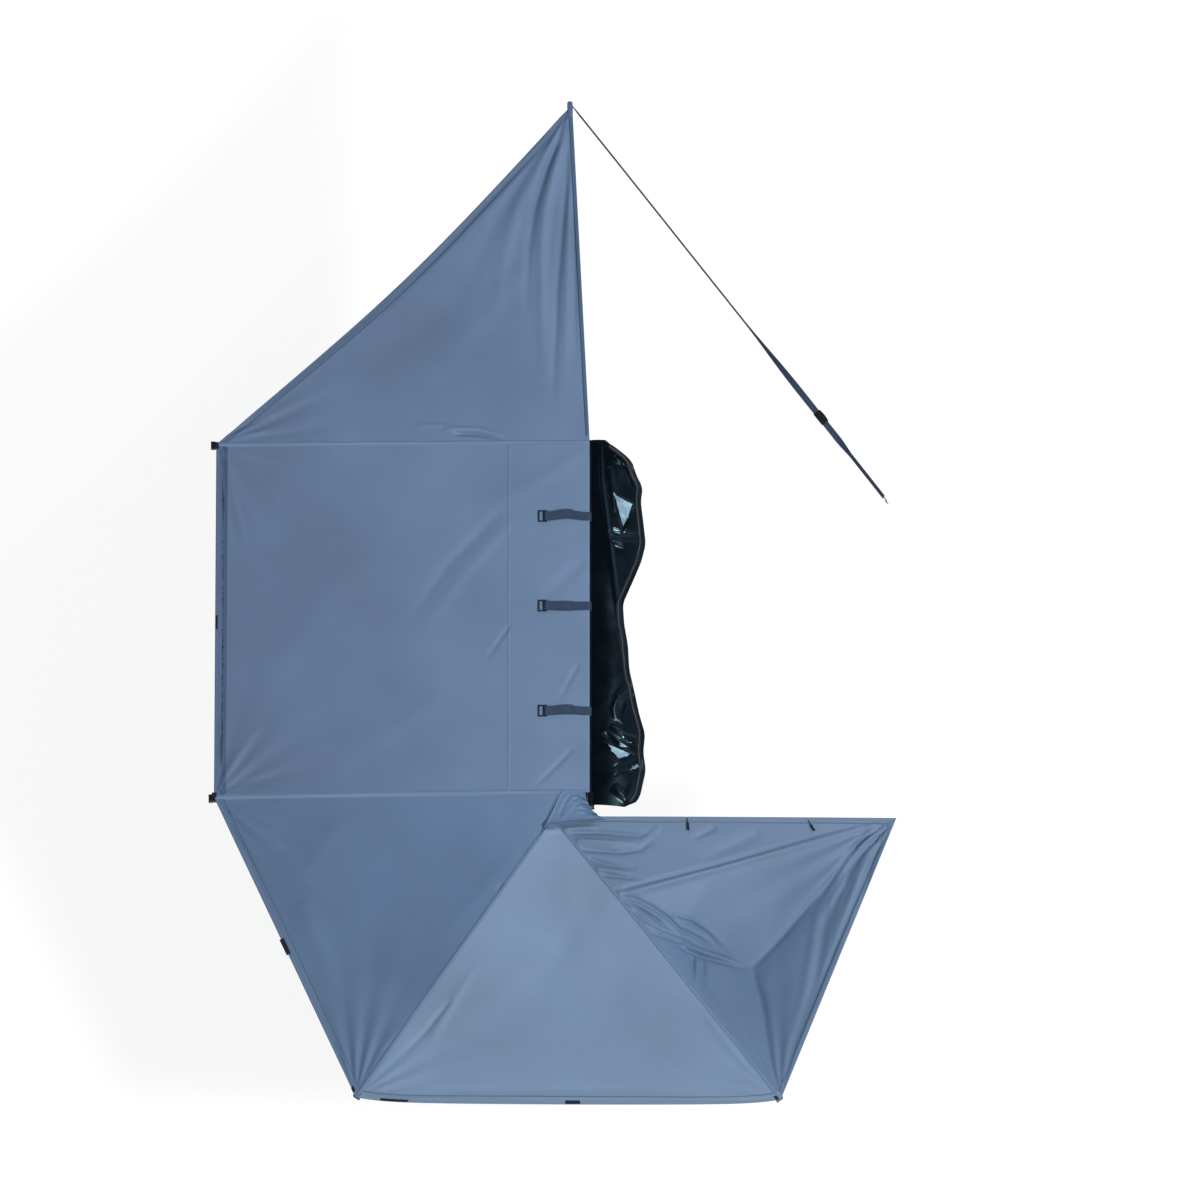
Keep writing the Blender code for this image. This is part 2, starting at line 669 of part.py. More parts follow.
def channel_tip(name, reach, parent):
    """The end moulding: a sleeve and plug on the channel, and cheeks that hold the leg's pin."""
    half, tall = CHANNEL_WIDTH / 2, CHANNEL_HEIGHT
    gap = FACE_GAP
    start = reach - CAP_LENGTH
    outer = box((start, -half - CAP_WALL, -tall - CAP_WALL), (reach, half + CAP_WALL, CAP_WALL))
    inner = box((start - PAST, -half - gap, -tall - gap), (reach - CAP_END_WALL, half + gap, gap))
    sleeve = cut(outer, inner)
    in_half = half - CHANNEL_WALL - gap
    plug_top = -CHANNEL_WALL - TIP_PLUG_DROP
    plug = box((start, -in_half, -tall + TIP_PLUG_LIFT), (reach - CAP_END_WALL / 2, in_half, plug_top))
    pin_x, pin_z = reach - LEG_PIN_FROM_TIP, -LEG_PIN_DROP
    cheek_in = LEG_RADIUS + LEG_GAP
    parts = [plug]
    for side in (-1, 1):
        low, high = sorted((side * cheek_in, side * in_half))
        cheek_low = (pin_x - CHEEK_REACH, low, -tall + 2 * TIP_PLUG_LIFT)
        parts.append(box(cheek_low, (start + CAP_WALL, high, plug_top)))
    pin_shape = circle(LEG_PIN_RADIUS, (pin_x, pin_z), SMALL_SIDES)
    parts.append(extruded(pin_shape, -in_half + LEG_GAP, in_half - LEG_GAP, "Y"))
    part(name, joined(sleeve, *parts), PLASTIC, parent)


def leg(number, reach, arm):
    """A telescopic leg stowed in its arm: tube, twist lock, inner tube and foot."""
    pivot = empty(f"leg_{number}_pivot", (reach - LEG_PIN_FROM_TIP, 0, -LEG_PIN_DROP), 180, arm)
    tube = extruded(circle(LEG_RADIUS), -LEG_HEAD, LEG_LENGTH, "X")
    bore = extruded(circle(LEG_RADIUS - LEG_WALL), -LEG_HEAD - PAST, LEG_LENGTH + PAST, "X")
    hole = circle(LEG_PIN_RADIUS + PIN_BORE_GAP, sides=SMALL_SIDES)
    across = extruded(hole, -2 * LEG_RADIUS, 2 * LEG_RADIUS, "Y")
    part(f"leg_{number}_tube", cut(tube, bore, across), ALUMINIUM, pivot)

    start = LEG_LENGTH - COLLAR_GRIP
    profile = [
        (start, LEG_RADIUS + FACE_GAP),
        (start, COLLAR_RADIUS - COLLAR_BEVEL / 4),
        (start + COLLAR_BEVEL, COLLAR_RADIUS),
        (start + COLLAR_LENGTH - 2 * COLLAR_BEVEL, COLLAR_RADIUS),
        (start + COLLAR_LENGTH, COLLAR_RADIUS - COLLAR_BEVEL),
        (start + COLLAR_LENGTH, INNER_RADIUS + LEG_GAP / 2),
        (LEG_LENGTH + FACE_GAP, INNER_RADIUS + LEG_GAP / 2),
        (LEG_LENGTH + FACE_GAP, LEG_RADIUS + FACE_GAP),
    ]
    part(f"leg_{number}_lock", turned(profile), PLASTIC, pivot)

    inner_end = start + COLLAR_LENGTH + FOOT_SOCKET + FOOT_CLEAR
    inner = extruded(circle(INNER_RADIUS), INNER_START, inner_end, "X")
    hollow = extruded(circle(INNER_RADIUS - INNER_WALL), INNER_START - PAST, inner_end + PAST, "X")
    part(f"leg_{number}_inner", cut(inner, hollow), ALUMINIUM, pivot)

    mouth = inner_end - FOOT_SOCKET
    foot = [
        (mouth, INNER_RADIUS + FACE_GAP),
        (mouth, FOOT_RADIUS - FOOT_BEVEL / 5),
        (mouth + FOOT_LENGTH - FOOT_PAD, FOOT_RADIUS - FOOT_BEVEL / 5),
        (mouth + FOOT_LENGTH - FOOT_PAD + FOOT_BEVEL, FOOT_RADIUS),
        (mouth + FOOT_LENGTH - FOOT_BEVEL, FOOT_RADIUS),
        (mouth + FOOT_LENGTH, FOOT_RADIUS - FOOT_BEVEL),
        (mouth + FOOT_LENGTH, 0),
        (inner_end + FACE_GAP, 0),
        (inner_end + FACE_GAP, INNER_RADIUS + FACE_GAP),
    ]
    part(f"leg_{number}_foot", turned(foot), RUBBER, pivot)


def turned(profile, sides=SIDES):
    """A closed profile of (distance along X, radius) turned about X."""
    bm = bmesh.new()
    rings = []
    for along, radius in profile:
        if radius == 0:
            rings.append([bm.verts.new((along, 0, 0))])
            continue
        rings.append([bm.verts.new((along, b, c)) for b, c in circle(radius, sides=sides)])
    count = len(rings)
    for i, ring in enumerate(rings):
        after = rings[(i + 1) % count]
        if len(ring) == len(after) == 1:
            continue
        for k in range(sides):
            n = (k + 1) % sides
            if len(ring) == 1:
                corners = (ring[0], after[n], after[k])
            elif len(after) == 1:
                corners = (ring[k], ring[n], after[0])
            else:
                corners = (ring[k], ring[n], after[n], after[k])
            bm.faces.new(corners)
    return mesh_of(bm)


def front_arm():
    """The front arm: a closed tube with no leg, its eye and its tip plug."""
    pivot = empty("front_arm_pivot", (FRONT_PIVOT.x, FRONT_PIVOT.y, FRONT_ARM_TOP), FRONT_ARM_BEARING)
    half, tall, wall = TUBE_WIDTH / 2, TUBE_HEIGHT, CHANNEL_WALL
    end = FRONT_ARM_REACH - CAP_END_WALL - FACE_GAP
    start = FRONT_BARREL_RADIUS + TUBE_CLEAR
    outer = extruded(rounded((-half, -tall), (half, 0), TUBE_EDGE, 2), start, end, "X")
    inner = extruded(
        rectangle((-half + wall, -tall + wall), (half - wall, -wall)), start - PAST, end + PAST, "X"
    )
    part("front_arm_tube", cut(outer, inner), ALUMINIUM, pivot)
    knuckle("front_arm_knuckle", FRONT_BARREL_RADIUS, tall, TUBE_WIDTH, wall, pivot)

    reach, gap = FRONT_ARM_REACH, FACE_GAP
    cap = box(
        (reach - CAP_END_WALL, -half - CAP_WALL, -tall - CAP_WALL),
        (reach, half + CAP_WALL, CAP_WALL),
    )
    plug = box(
        (reach - CAP_LENGTH, -half + wall + gap, -tall + wall + gap),
        (reach - CAP_END_WALL / 2, half - wall - gap, -wall - gap),
    )
    eye_x = reach + LUG_REACH
    root_x = reach + LUG_RADIUS - CAP_END_WALL / 2
    outline = hull_outline(((root_x, 0), (eye_x, 0)), LUG_RADIUS, 16)
    lug = extruded(outline, -CLOTH_LIFT - CLOTH, CLOTH_LIFT + CLOTH)
    eye = extruded(circle(LUG_EYE_RADIUS, (eye_x, 0), SMALL_SIDES), -tall, tall)
    part("front_arm_tip", cut(joined(cap, plug, lug), eye), PLASTIC, pivot)


def channel_arm(number, pivot, top, reach, bearing):
    """One of the four arms that hold a leg."""
    at = empty(f"arm_{number}_pivot", (pivot.x, pivot.y, top), bearing)
    channel(f"arm_{number}_channel", reach, at)
    knuckle(f"arm_{number}_knuckle", BARREL_RADIUS, CHANNEL_HEIGHT, CHANNEL_WIDTH, CHANNEL_WALL, at)
    channel_tip(f"arm_{number}_tip", reach, at)
    leg(number, reach, at)


def along_arm(pivot, bearing, distance):
    """The place in plan at a distance along an arm."""
    t = math.radians(bearing)
    return Vector((pivot.x + distance * math.cos(t), pivot.y + distance * math.sin(t), 0))


def cloth(name, surface, across, along, finish):
    part(name, slab(surface, across, along, CLOTH), finish)


def mixed(a, b, t):
    return a + (b - a) * t


def drop_share(u, level):
    """How far the cloth has come down to the arms' tips; it stays level up to a share."""
    return max(0.0, (u - level) / (1 - level)) ** DROP_POWER


def sheet_between(inner, outer, z_in, z_out, level, bow=0.0, sag=PANEL_SAG):
    """A surface between an inner edge and a hem.

    Its plan is straight from inner(v) to outer(v), whose middle is drawn in by bow. Its height
    goes from z_in(v) to z_out(v) by drop_share, less a sag that is nil at all four edges.
    """

    def surface(u, v):
        near, far = inner(v), outer(v)
        arch = 4 * v * (1 - v)
        far = far - (far - near).normalized() * bow * arch
        place = near + (far - near) * u
        z = mixed(z_in(v), z_out(v), drop_share(u, level)) - sag * arch * math.sin(math.pi * u)
        return (place.x, place.y, z)

    return surface


def tip_top(top):
    """The cloth's upper side over the tip of an arm."""
    return top + CLOTH_LIFT + CLOTH


def canopy():
    """Five panels and the gathered piece round the hub, each sewn along an arm."""
    edge_x = KEDER_X
    tip_0 = along_arm(FRONT_PIVOT, FRONT_ARM_BEARING, FRONT_ARM_REACH - HEM_INSET)
    tip_1 = along_arm(FRONT_PIVOT, ARM_1_BEARING, ARM_1_REACH - HEM_INSET)
    tip_2 = along_arm(SIDE_PIVOT, ARM_2_BEARING, ARM_2_REACH - HEM_INSET)
    tip_3 = along_arm(HUB_PIVOT, ARM_3_BEARING, ARM_3_REACH - HEM_INSET)
    tip_4 = along_arm(HUB_PIVOT, ARM_4_BEARING, ARM_4_REACH - HEM_INSET)
    seam = Vector((0, SEAM_GAP, 0))
    hub = HUB_PIVOT
    level_hub = (FLAT_SHARE * (edge_x - tip_2.x) - (edge_x - hub.x)) / (hub.x - tip_2.x)

    corner = Vector((edge_x, FRONT_PIVOT_Y, 0))
    front = sheet_between(
        lambda v: corner + seam + Vector((0, CORNER_FLARE * (1 - v), 0)),
        lambda v: (tip_0 + Vector((TUBE_WIDTH / 2, 0, 0))).lerp(tip_1 + seam, v),
        lambda v: CLOTH_TOP,
        lambda v: mixed(tip_top(FRONT_ARM_TOP), tip_top(ARM_1_TOP), v),
        FLAT_SHARE,
        FRONT_HEM_BOW,
    )
    cloth("canopy_front", front, 12, 10, CANVAS)

    side_end = Vector((edge_x, SIDE_PIVOT_Y, 0))
    side = sheet_between(
        lambda v: (corner - seam).lerp(side_end + seam, v),
        lambda v: (tip_1 - seam).lerp(tip_2 + seam, v),
        lambda v: CLOTH_TOP,
        lambda v: mixed(tip_top(ARM_1_TOP), tip_top(ARM_2_TOP), v),
        FLAT_SHARE,
    )
    cloth("canopy_side", side, 12, 10, CANVAS)

    def ring(bearing):
        return along_arm(hub, bearing, GATHER_RADIUS + SEAM_GAP)

    gap_turn = math.degrees(2 * SEAM_GAP / GATHER_RADIUS)

    def beside(number_bearing, reach, side):
        """A panel's edge along an arm: its inner and outer ends, set off from the seam."""
        turn = side * math.degrees(SEAM_GAP / reach)
        return along_arm(hub, number_bearing + turn, reach)

    rear_left = sheet_between(
        lambda v: ring(mixed(90, ARM_3_BEARING - gap_turn / 2, v)) - seam * (1 - v),
        lambda v: (tip_2 - seam).lerp(beside(ARM_3_BEARING, ARM_3_REACH - HEM_INSET, -1), v),
        lambda v: mixed(CLOTH_TOP, HUB_CLOTH_TOP, v),
        lambda v: mixed(tip_top(ARM_2_TOP), tip_top(ARM_3_TOP), v),
        level_hub,
    )
    cloth("canopy_rear_left", rear_left, 10, 16, CANVAS)

    rear = sheet_between(
        lambda v: ring(mixed(ARM_3_BEARING + gap_turn / 2, ARM_4_BEARING - gap_turn / 2, v)),
        lambda v: beside(ARM_3_BEARING, ARM_3_REACH - HEM_INSET, 1).lerp(
            beside(ARM_4_BEARING, ARM_4_REACH - HEM_INSET, -1), v
        ),
        lambda v: HUB_CLOTH_TOP,
        lambda v: mixed(tip_top(ARM_3_TOP), tip_top(ARM_4_TOP), v),
        level_hub,
        -REAR_HEM_BOW,
    )
    cloth("canopy_rear", rear, 12, 10, PALE_CANVAS)

    tail_corner = Vector((TAIL_CORNER_X, TAIL_CORNER_Y, 0))
    tail_flat = sheet_between(
        lambda v: ring(mixed(ARM_4_BEARING + gap_turn / 2, 360 - gap_turn, v)),
        lambda v: beside(ARM_4_BEARING, ARM_4_REACH - HEM_INSET, 1).lerp(tail_corner, v),
        lambda v: HUB_CLOTH_TOP,
        lambda v: mixed(tip_top(ARM_4_TOP), TAIL_CORNER_Z, v),
        level_hub,
        sag=0.0,
    )

    def tail(u, v):
        """The tail flap hangs slack: a deep bowl, with folds that fan out from the hub."""
        x, y, z = tail_flat(u, v)
        bowl = math.sin(math.pi * u**1.15) * math.sin(math.pi * v**0.85)
        fan = math.sin(math.tau * TAIL_FOLDS * v) * math.sin(math.pi * v) * math.sin(math.pi * u)
        return (x, y, z - TAIL_SAG * bowl + TAIL_FOLD_DEPTH * fan)

    cloth("canopy_tail", tail, 18, 20, PALE_CANVAS)

    right = RAIL_FACE - FACE_GAP - hub.x
    ahead = SIDE_PIVOT_Y - SEAM_GAP - hub.y

    def gather(u, v):
        """The gathered piece: out to the rail's corner ahead of the hub, round elsewhere."""
        t = math.radians(mixed(gap_turn, 360 - gap_turn, v))
        out = GATHER_RADIUS - GATHER_GAP
        if math.sin(t) > 0 and math.cos(t) > 0:
            out = min(right / math.cos(t), ahead / math.sin(t)) - SEAM_GAP
        edge = mixed(HUB_CLOTH_TOP, CLOTH_TOP, max(0.0, math.sin(t)) ** 0.5)
        radius = mixed(GATHER_HOLE, out, u)
        pucker = PUCKER_DEPTH * math.sin(PUCKERS * t) * math.sin(math.pi * u)
        z = edge - GATHER_CLOTH_DIP * (1 - u) ** 2 + pucker
        return (hub.x + radius * math.cos(t), hub.y + radius * math.sin(t), z)

    cloth("canopy_hub_gather", gather, 3, 52, CANVAS)


def bag_line(share):
    """The cover bag's cross-section from the rail to its free edge, in X and Z."""
    x = mixed(RAIL_BACK - BAG_ROOT, BAG_REACH, share)
    root = RAIL_TOP + FACE_GAP + BAG_WALL
    fall = mixed(root, BAG_EDGE_Z, (max(0.0, share - BAG_FLAT) / (1 - BAG_FLAT)) ** DROP_POWER)
    return x, fall + BAG_CREST * math.sin(math.pi * share)


def cover_bag():
    """The opened cover, folded back inboard, drawn in at its waist, with its zip."""

    def surface(u, v):
        y = mixed(BAG_LENGTH / 2, -BAG_LENGTH / 2, v)
        waist = math.exp(-(((y - BAG_WAIST) / BAG_WAIST_SPAN) ** 2))
        end = min(1.0, 6 * v, 6 * (1 - v))
        share = u * (1 - BAG_WAIST_DEPTH * waist) * mixed(BAG_END_SHARE, 1.0, end)
        x, z = bag_line(share)
        ripple = BAG_RIPPLE * math.sin(15 * v) * math.sin(19 * v + 1.3) * u
        return x, y, z + ripple

    along = 36
    part("cover_bag", slab(surface, 8, along, BAG_WALL), COVER)

    rings = []
    for j in range(1, along):
        x, y, z = surface(1.0, j / along)
        low, top = x + FACE_GAP, z - LEG_GAP
        rings.append([(a, y, b) for a, b in rectangle((low, top - ZIP_WALL), (low + ZIP_WIDTH, top))])
    part("cover_zip", skinned(rings), PLASTIC)


def strap_line():
    """A closing strap's upper side in X and Z: on the rail, up over the cloth and outboard."""
    on_rail = RAIL_TOP + FACE_GAP + STRAP_WALL
    over = CLOTH_TOP + FACE_GAP + STRAP_WALL
    foot = KEDER_X + STRAP_FOOT_SET
    return [
        (foot + STRAP_TURN + STRAP_TAIL, on_rail),
        (foot + STRAP_TURN, on_rail),
        (foot, over),
        (RAIL_FACE - STRAP_REACH / 2, over),
        (RAIL_FACE - STRAP_REACH, over),
    ]


def closing_straps():
    """Three webbing straps from the rail over the cloth, each with a ladder buckle."""
    top = strap_line()
    shape = top + [(x, z - STRAP_WALL) for x, z in reversed(top)]
    shape[-3] = (top[2][0] - STRAP_WALL, shape[-3][1])
    end_x, end_z = top[-1]
    low_z = end_z + FACE_GAP
    for place, y in zip(("front", "middle", "rear"), STRAP_YS):
        strap = extruded(shape, y - STRAP_WIDTH / 2, y + STRAP_WIDTH / 2, "Y")
        part(f"closing_strap_{place}", strap, WEBBING, smooth=False)
        low, high = end_x - BUCKLE_SHOWS, end_x - BUCKLE_SHOWS + BUCKLE_LENGTH
        half = BUCKLE_WIDTH / 2
        outline = rounded((low, y - half), (high, y + half), BUCKLE_CORNER, 2)
        frame = extruded(outline, low_z, low_z + BUCKLE_WALL)
        eye = (low + BUCKLE_BAR, low + BUCKLE_BAR + BUCKLE_EYE)
        slot = (eye[1] + BUCKLE_BAR, high - BUCKLE_BAR)
        windows = []
        for a, b in (eye, slot):
            window = rectangle((a, y - half + BUCKLE_BAR), (b, y + half - BUCKLE_BAR))
            windows.append(extruded(window, low_z - PAST, low_z + BUCKLE_WALL + PAST))
        part(f"closing_buckle_{place}", cut(frame, *windows), PLASTIC)


def tension_strap():
    """The webbing that pulls the front arm inboard, with its cam buckle and its hook."""
    pivot = empty("tension_strap_root", (0, 0, 0))
    start = along_arm(FRONT_PIVOT, FRONT_ARM_BEARING, FRONT_ARM_REACH + LUG_REACH)
    start.z = tip_top(FRONT_ARM_TOP) + TENSION_LIFT + TENSION_WALL / 2
    end = Vector((TENSION_END_X, TENSION_END_Y, TENSION_END_Z))
    way = (end - start).normalized()
    across = Vector((0, 0, 1)).cross(way).normalized()
    half, steps = TENSION_WIDTH / 2, 24

    def line(share):
        """Straight in plan; it leaves the tip level, over the cloth, and sags a little."""
        place = start.lerp(end, share)
        place.z = mixed(start.z, end.z, share**2) - TENSION_SAG * math.sin(math.pi * share) ** 2
        return place

    section = rectangle((-half, -TENSION_WALL / 2), (half, TENSION_WALL / 2))
    rings = []
    for i in range(steps + 1):
        middle = line(i / steps)
        rings.append([middle + across * a + Vector((0, 0, b)) for a, b in section])
    part("tension_strap", skinned(rings), WEBBING, pivot, smooth=False)

    turn = Matrix((way, across, way.cross(across))).transposed().to_4x4()
    at = line(TENSION_BUCKLE_SHARE) + Vector((0, 0, TENSION_WALL / 2 + FACE_GAP))
    long, tall = TENSION_BUCKLE_LENGTH / 2, TENSION_BUCKLE_HEIGHT
    wide = half + TENSION_BUCKLE_SIDE
    profile = [(-long, 0), (long, 0), (long, tall * 0.4), (long * 0.3, tall), (-long * 0.6, tall * 0.8)]
    profile.append((-long, tall * 0.35))
    buckle = extruded(profile, -wide, wide, "Y")
    buckle.transform(Matrix.Translation(at) @ turn)
    part("tension_buckle", buckle, PLASTIC, pivot)

    hook = hook_mesh()
    hook.transform(Matrix.Translation(end + way * FACE_GAP) @ turn)
    part("tension_hook", hook, STEEL, pivot)


def hook_mesh():
    """A wire hook along X: a cross bar that the webbing is sewn round, a shank and a bend."""
    bar = extruded(circle(HOOK_WIRE, (HOOK_WIRE, 0), 8), -TENSION_WIDTH / 2, TENSION_WIDTH / 2, "Y")
    bend = 10
    spine = [Vector((HOOK_WIRE, 0, 0)), Vector((HOOK_SHANK, 0, 0))]
    for i in range(1, bend + 1):
        t = math.radians(200 * i / bend)
        place = (HOOK_SHANK + HOOK_RADIUS * math.sin(t), 0, -HOOK_RADIUS * (1 - math.cos(t)))
        spine.append(Vector(place))
    rings = []
    for i, place in enumerate(spine):
        before, after = spine[max(i - 1, 0)], spine[min(i + 1, len(spine) - 1)]
        way = (after - before).normalized()
        up = Vector((0, 1, 0)).cross(way)
        wire = circle(HOOK_WIRE, sides=8)
        rings.append([place + Vector((0, a, 0)) + up * b for a, b in wire])
    return joined(bar, skinned(rings))


def build():
    clear_scene()
    rail()
    rail_end_caps()
    for name, y in (("front", BRACKET_SPACING), ("middle", 0.0), ("rear", -BRACKET_SPACING)):
        bracket(f"bracket_{name}", y)
    keder_bead()
    pivots()
    front_arm()
    channel_arm(1, FRONT_PIVOT, ARM_1_TOP, ARM_1_REACH, ARM_1_BEARING)
    channel_arm(2, SIDE_PIVOT, ARM_2_TOP, ARM_2_REACH, ARM_2_BEARING)
    channel_arm(3, HUB_PIVOT, ARM_3_TOP, ARM_3_REACH, ARM_3_BEARING)
    channel_arm(4, HUB_PIVOT, ARM_4_TOP, ARM_4_REACH, ARM_4_BEARING)
    canopy()
    cover_bag()
    closing_straps()
    tension_strap()


build()
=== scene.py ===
"""Vehicle side awning with four swing arms: its cloth, webbing, cover and finishes over the CAD frame.

Everything is in metres, +Z up, +Y towards the front of the vehicle, +X inboard. The canopy is one
surface in five panels, each a function of u (0 at the rail, 1 at the hem) and v (0 to 1 along the
hem). Bands, tabs and toggles are laid on the same functions, so that they follow the cloth.
"""

import math

import bpy
import numpy as np
from bpy.props import FloatProperty, FloatVectorProperty, IntProperty, PointerProperty
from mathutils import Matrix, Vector


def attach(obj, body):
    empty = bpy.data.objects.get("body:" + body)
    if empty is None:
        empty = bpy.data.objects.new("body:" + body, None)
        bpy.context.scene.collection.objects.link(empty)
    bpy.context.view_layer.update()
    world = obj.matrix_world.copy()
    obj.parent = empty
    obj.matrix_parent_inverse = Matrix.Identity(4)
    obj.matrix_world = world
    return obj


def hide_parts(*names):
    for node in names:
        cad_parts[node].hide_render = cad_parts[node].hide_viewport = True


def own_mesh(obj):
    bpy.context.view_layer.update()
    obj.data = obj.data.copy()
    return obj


bl_info = {
    "name": "Vehicle side awning",
    "version": (1, 0, 0),
    "blender": (4, 5, 0),
    "location": "3D View > Sidebar > Awning",
    "description": "Builds the cloth, webbing, cover and finishes of a swing-arm side awning",
    "category": "Object",
}

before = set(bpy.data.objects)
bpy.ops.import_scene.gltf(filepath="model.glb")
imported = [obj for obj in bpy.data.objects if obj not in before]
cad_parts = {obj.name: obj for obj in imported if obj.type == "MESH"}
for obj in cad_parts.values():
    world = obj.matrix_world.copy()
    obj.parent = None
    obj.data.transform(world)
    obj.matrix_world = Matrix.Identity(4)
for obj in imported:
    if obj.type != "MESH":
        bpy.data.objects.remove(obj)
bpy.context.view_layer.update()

# Sizes that the frame's parts have, repeated here because the cloth is hung on them. The arms are
# numbered from 0, the front arm: their tops, bearings, reaches, and how much of each cap shows.
RAIL_BACK, RAIL_FACE, RAIL_TOP = -0.0193, -0.0573, 0.120
KEDER_X = -0.0453
FRONT_PIVOT = np.array([-0.1073, 1.040])
SIDE_PIVOT = np.array([-0.1623, -0.985])
HUB_PIVOT = np.array([-0.2443, -1.114])
ARM_TOPS = (0.115, 0.091, 0.050, 0.016, -0.018)
BEARINGS = (91.3, 180.0, 180.0, 236.2, 307.8)
REACHES = (1.960, 1.985, 1.938, 1.9014, 1.9996)
CAP_SHOWS = (-0.006, 0.030, 0.030, -0.004, -0.005)
TUBE_WIDTH = 0.024
RACK_HEIGHT = 1.9

# How the cloth is hung: its heights at the rail and the hub, its lift off an arm, the share of a
# panel that stays level next to the rail, and how the rest falls towards the hem
CLOTH_TOP, HUB_CLOTH_TOP = 0.131, 0.100
CLOTH_LIFT = 0.004
FLAT_SHARE, DROP_POWER = 0.13, 1.25
SEAM_GAP = 0.0003
GATHER_HOLE = 0.022
TAIL_CORNER, TAIL_CORNER_Z = np.array([1.609, -1.096]), 0.030
# The side panel: its run in plan from the rail to the hem, the X of its join, and its size both ways
SIDE_RUN, JOIN_X = KEDER_X + 2.070, -0.480
SIDE_LENGTH = 2.02
# Hems and seams: grid steps along them, and the thickness of their cloth
BAND_STEPS, BAND_WALL = 220, 0.0009

# Closing straps: the Y of each, how far each wanders to one side, and their reach; the tension strap
STRAP_YS = (0.610, 0.092, -0.515)
STRAP_WANDERS = (0.010, -0.004, 0.005)
STRAP_REACH = 0.234
TENSION_START = np.array([-0.1520, 3.0125, 0.1214])
TENSION_END = np.array([1.545, 0.752, 0.050])
TENSION_SAG = 0.012
BUCKLE_SHARE = 0.80
HOOK_WIRE, HOOK_RADIUS, HOOK_REACH = 0.0035, 0.013, 0.024

# Folds measured on the cloth, in millimetres: height, half width, and x, y of the points of the
# line that the fold follows in plan. A negative height is a valley.
FRONT_FOLDS = (
    (-11, 20, -160, 2985, -205, 2794, -275, 2650, -340, 2419, -372, 2187, -390, 1800),
    (12, 30, -158, 2960, -194, 2766, -240, 2600, -286, 2400, -302, 2187, -302, 1840, -286, 1400),
    (-11, 18, -152, 2900, -168, 2560, -194, 2274, -221, 1927, -226, 1696, -248, 1250),
    (7, 22, -146, 2850, -150, 2500, -160, 2200, -170, 1850, -180, 1350),
    (-6, 16, -140, 2650, -128, 2100, -120, 1500),
    (6, 34, -170, 2953, -290, 2740, -430, 2450, -520, 2050, -560, 1700),
    (-5, 40, -175, 2920, -360, 2640, -540, 2350, -700, 1950),
    (-9, 14, -180, 2907, -378, 2682, -643, 2382, -841, 2157, -1250, 1720),
    (4, 70, -313, 2156, -640, 1750, -961, 1405),
    (-11, 11, -772, 1092, -680, 1092, -590, 1078, -510, 1052),
    (9, 14, -830, 1122, -660, 1118, -500, 1078),
    (4, 12, -980, 1140, -760, 1145),
    (4, 20, -2030, 1085, -1750, 1110, -1447, 1170),
    (-4, 22, -2020, 1110, -1750, 1190, -1450, 1330),
    (-4, 80, -691, 1927, -1100, 1600, -1447, 1291),
)
SIDE_FOLDS = (
    (-5, 30, -518, 647, -820, 320, -1069, -65),
    (4, 34, -450, 600, -740, 270, -980, -100),
    (-6, 9, -475, -14, -610, -223),
    (-6, 8, -103, -242, -216, -462),
    (-6, 11, -135, -734, -373, -988),
    (5, 20, -2022, 1020, -1820, 965, -1609, 894),
    (-5, 22, -2020, 990, -1890, 860, -1744, 691),
    (4, 20, -2030, 953, -1960, 690, -1879, 375),
    (-5, 20, -2030, -940, -1830, -890, -1609, -830),
    (5, 22, -2020, -900, -1930, -740, -1814, -554),
    (3, 50, -70, 996, -350, 800, -691, 591),
    (3, 80, -1285, 371, -1879, -439),
    (3, 60, -853, -437, -1447, -842),
    (-4, 34, -65, 358, -313, 127),
)
REAR_LEFT_FOLDS = (
    (-5, 16, -529, -1491, -502, -1671),
    (-7, 18, -820, -2100, -980, -2320, -1150, -2500),
    (6, 20, -870, -2080, -1020, -2280, -1180, -2450),
    (5, 24, -1990, -1073, -1800, -1200, -1609, -1351),
    (-5, 24, -1998, -1119, -1890, -1330, -1771, -1582),
    (4, 50, -1609, -1578, -1480, -1900, -1339, -2214),
    (3, 50, -421, -1304, -907, -1883),
    (3, 60, -1393, -1127, -1609, -1474),
)
REAR_FOLDS = (
    (-6, 14, -790, -2150, -930, -2330, -1069, -2481),
    (5, 26, -907, -2388, -770, -2140, -637, -1925),
    (3, 80, -205, -1355, 11, -2164),
    (5, 26, 840, -2560, 650, -2320, 497, -2087),
    (-4, 80, 11, -1466, -210, -1900, -421, -2276),
    (10, 14, -312, -1200, -260, -1197, -200, -1192),
    (-5, 30, -1150, -2660, -529, -2655, 227, -2645, 850, -2662),
)
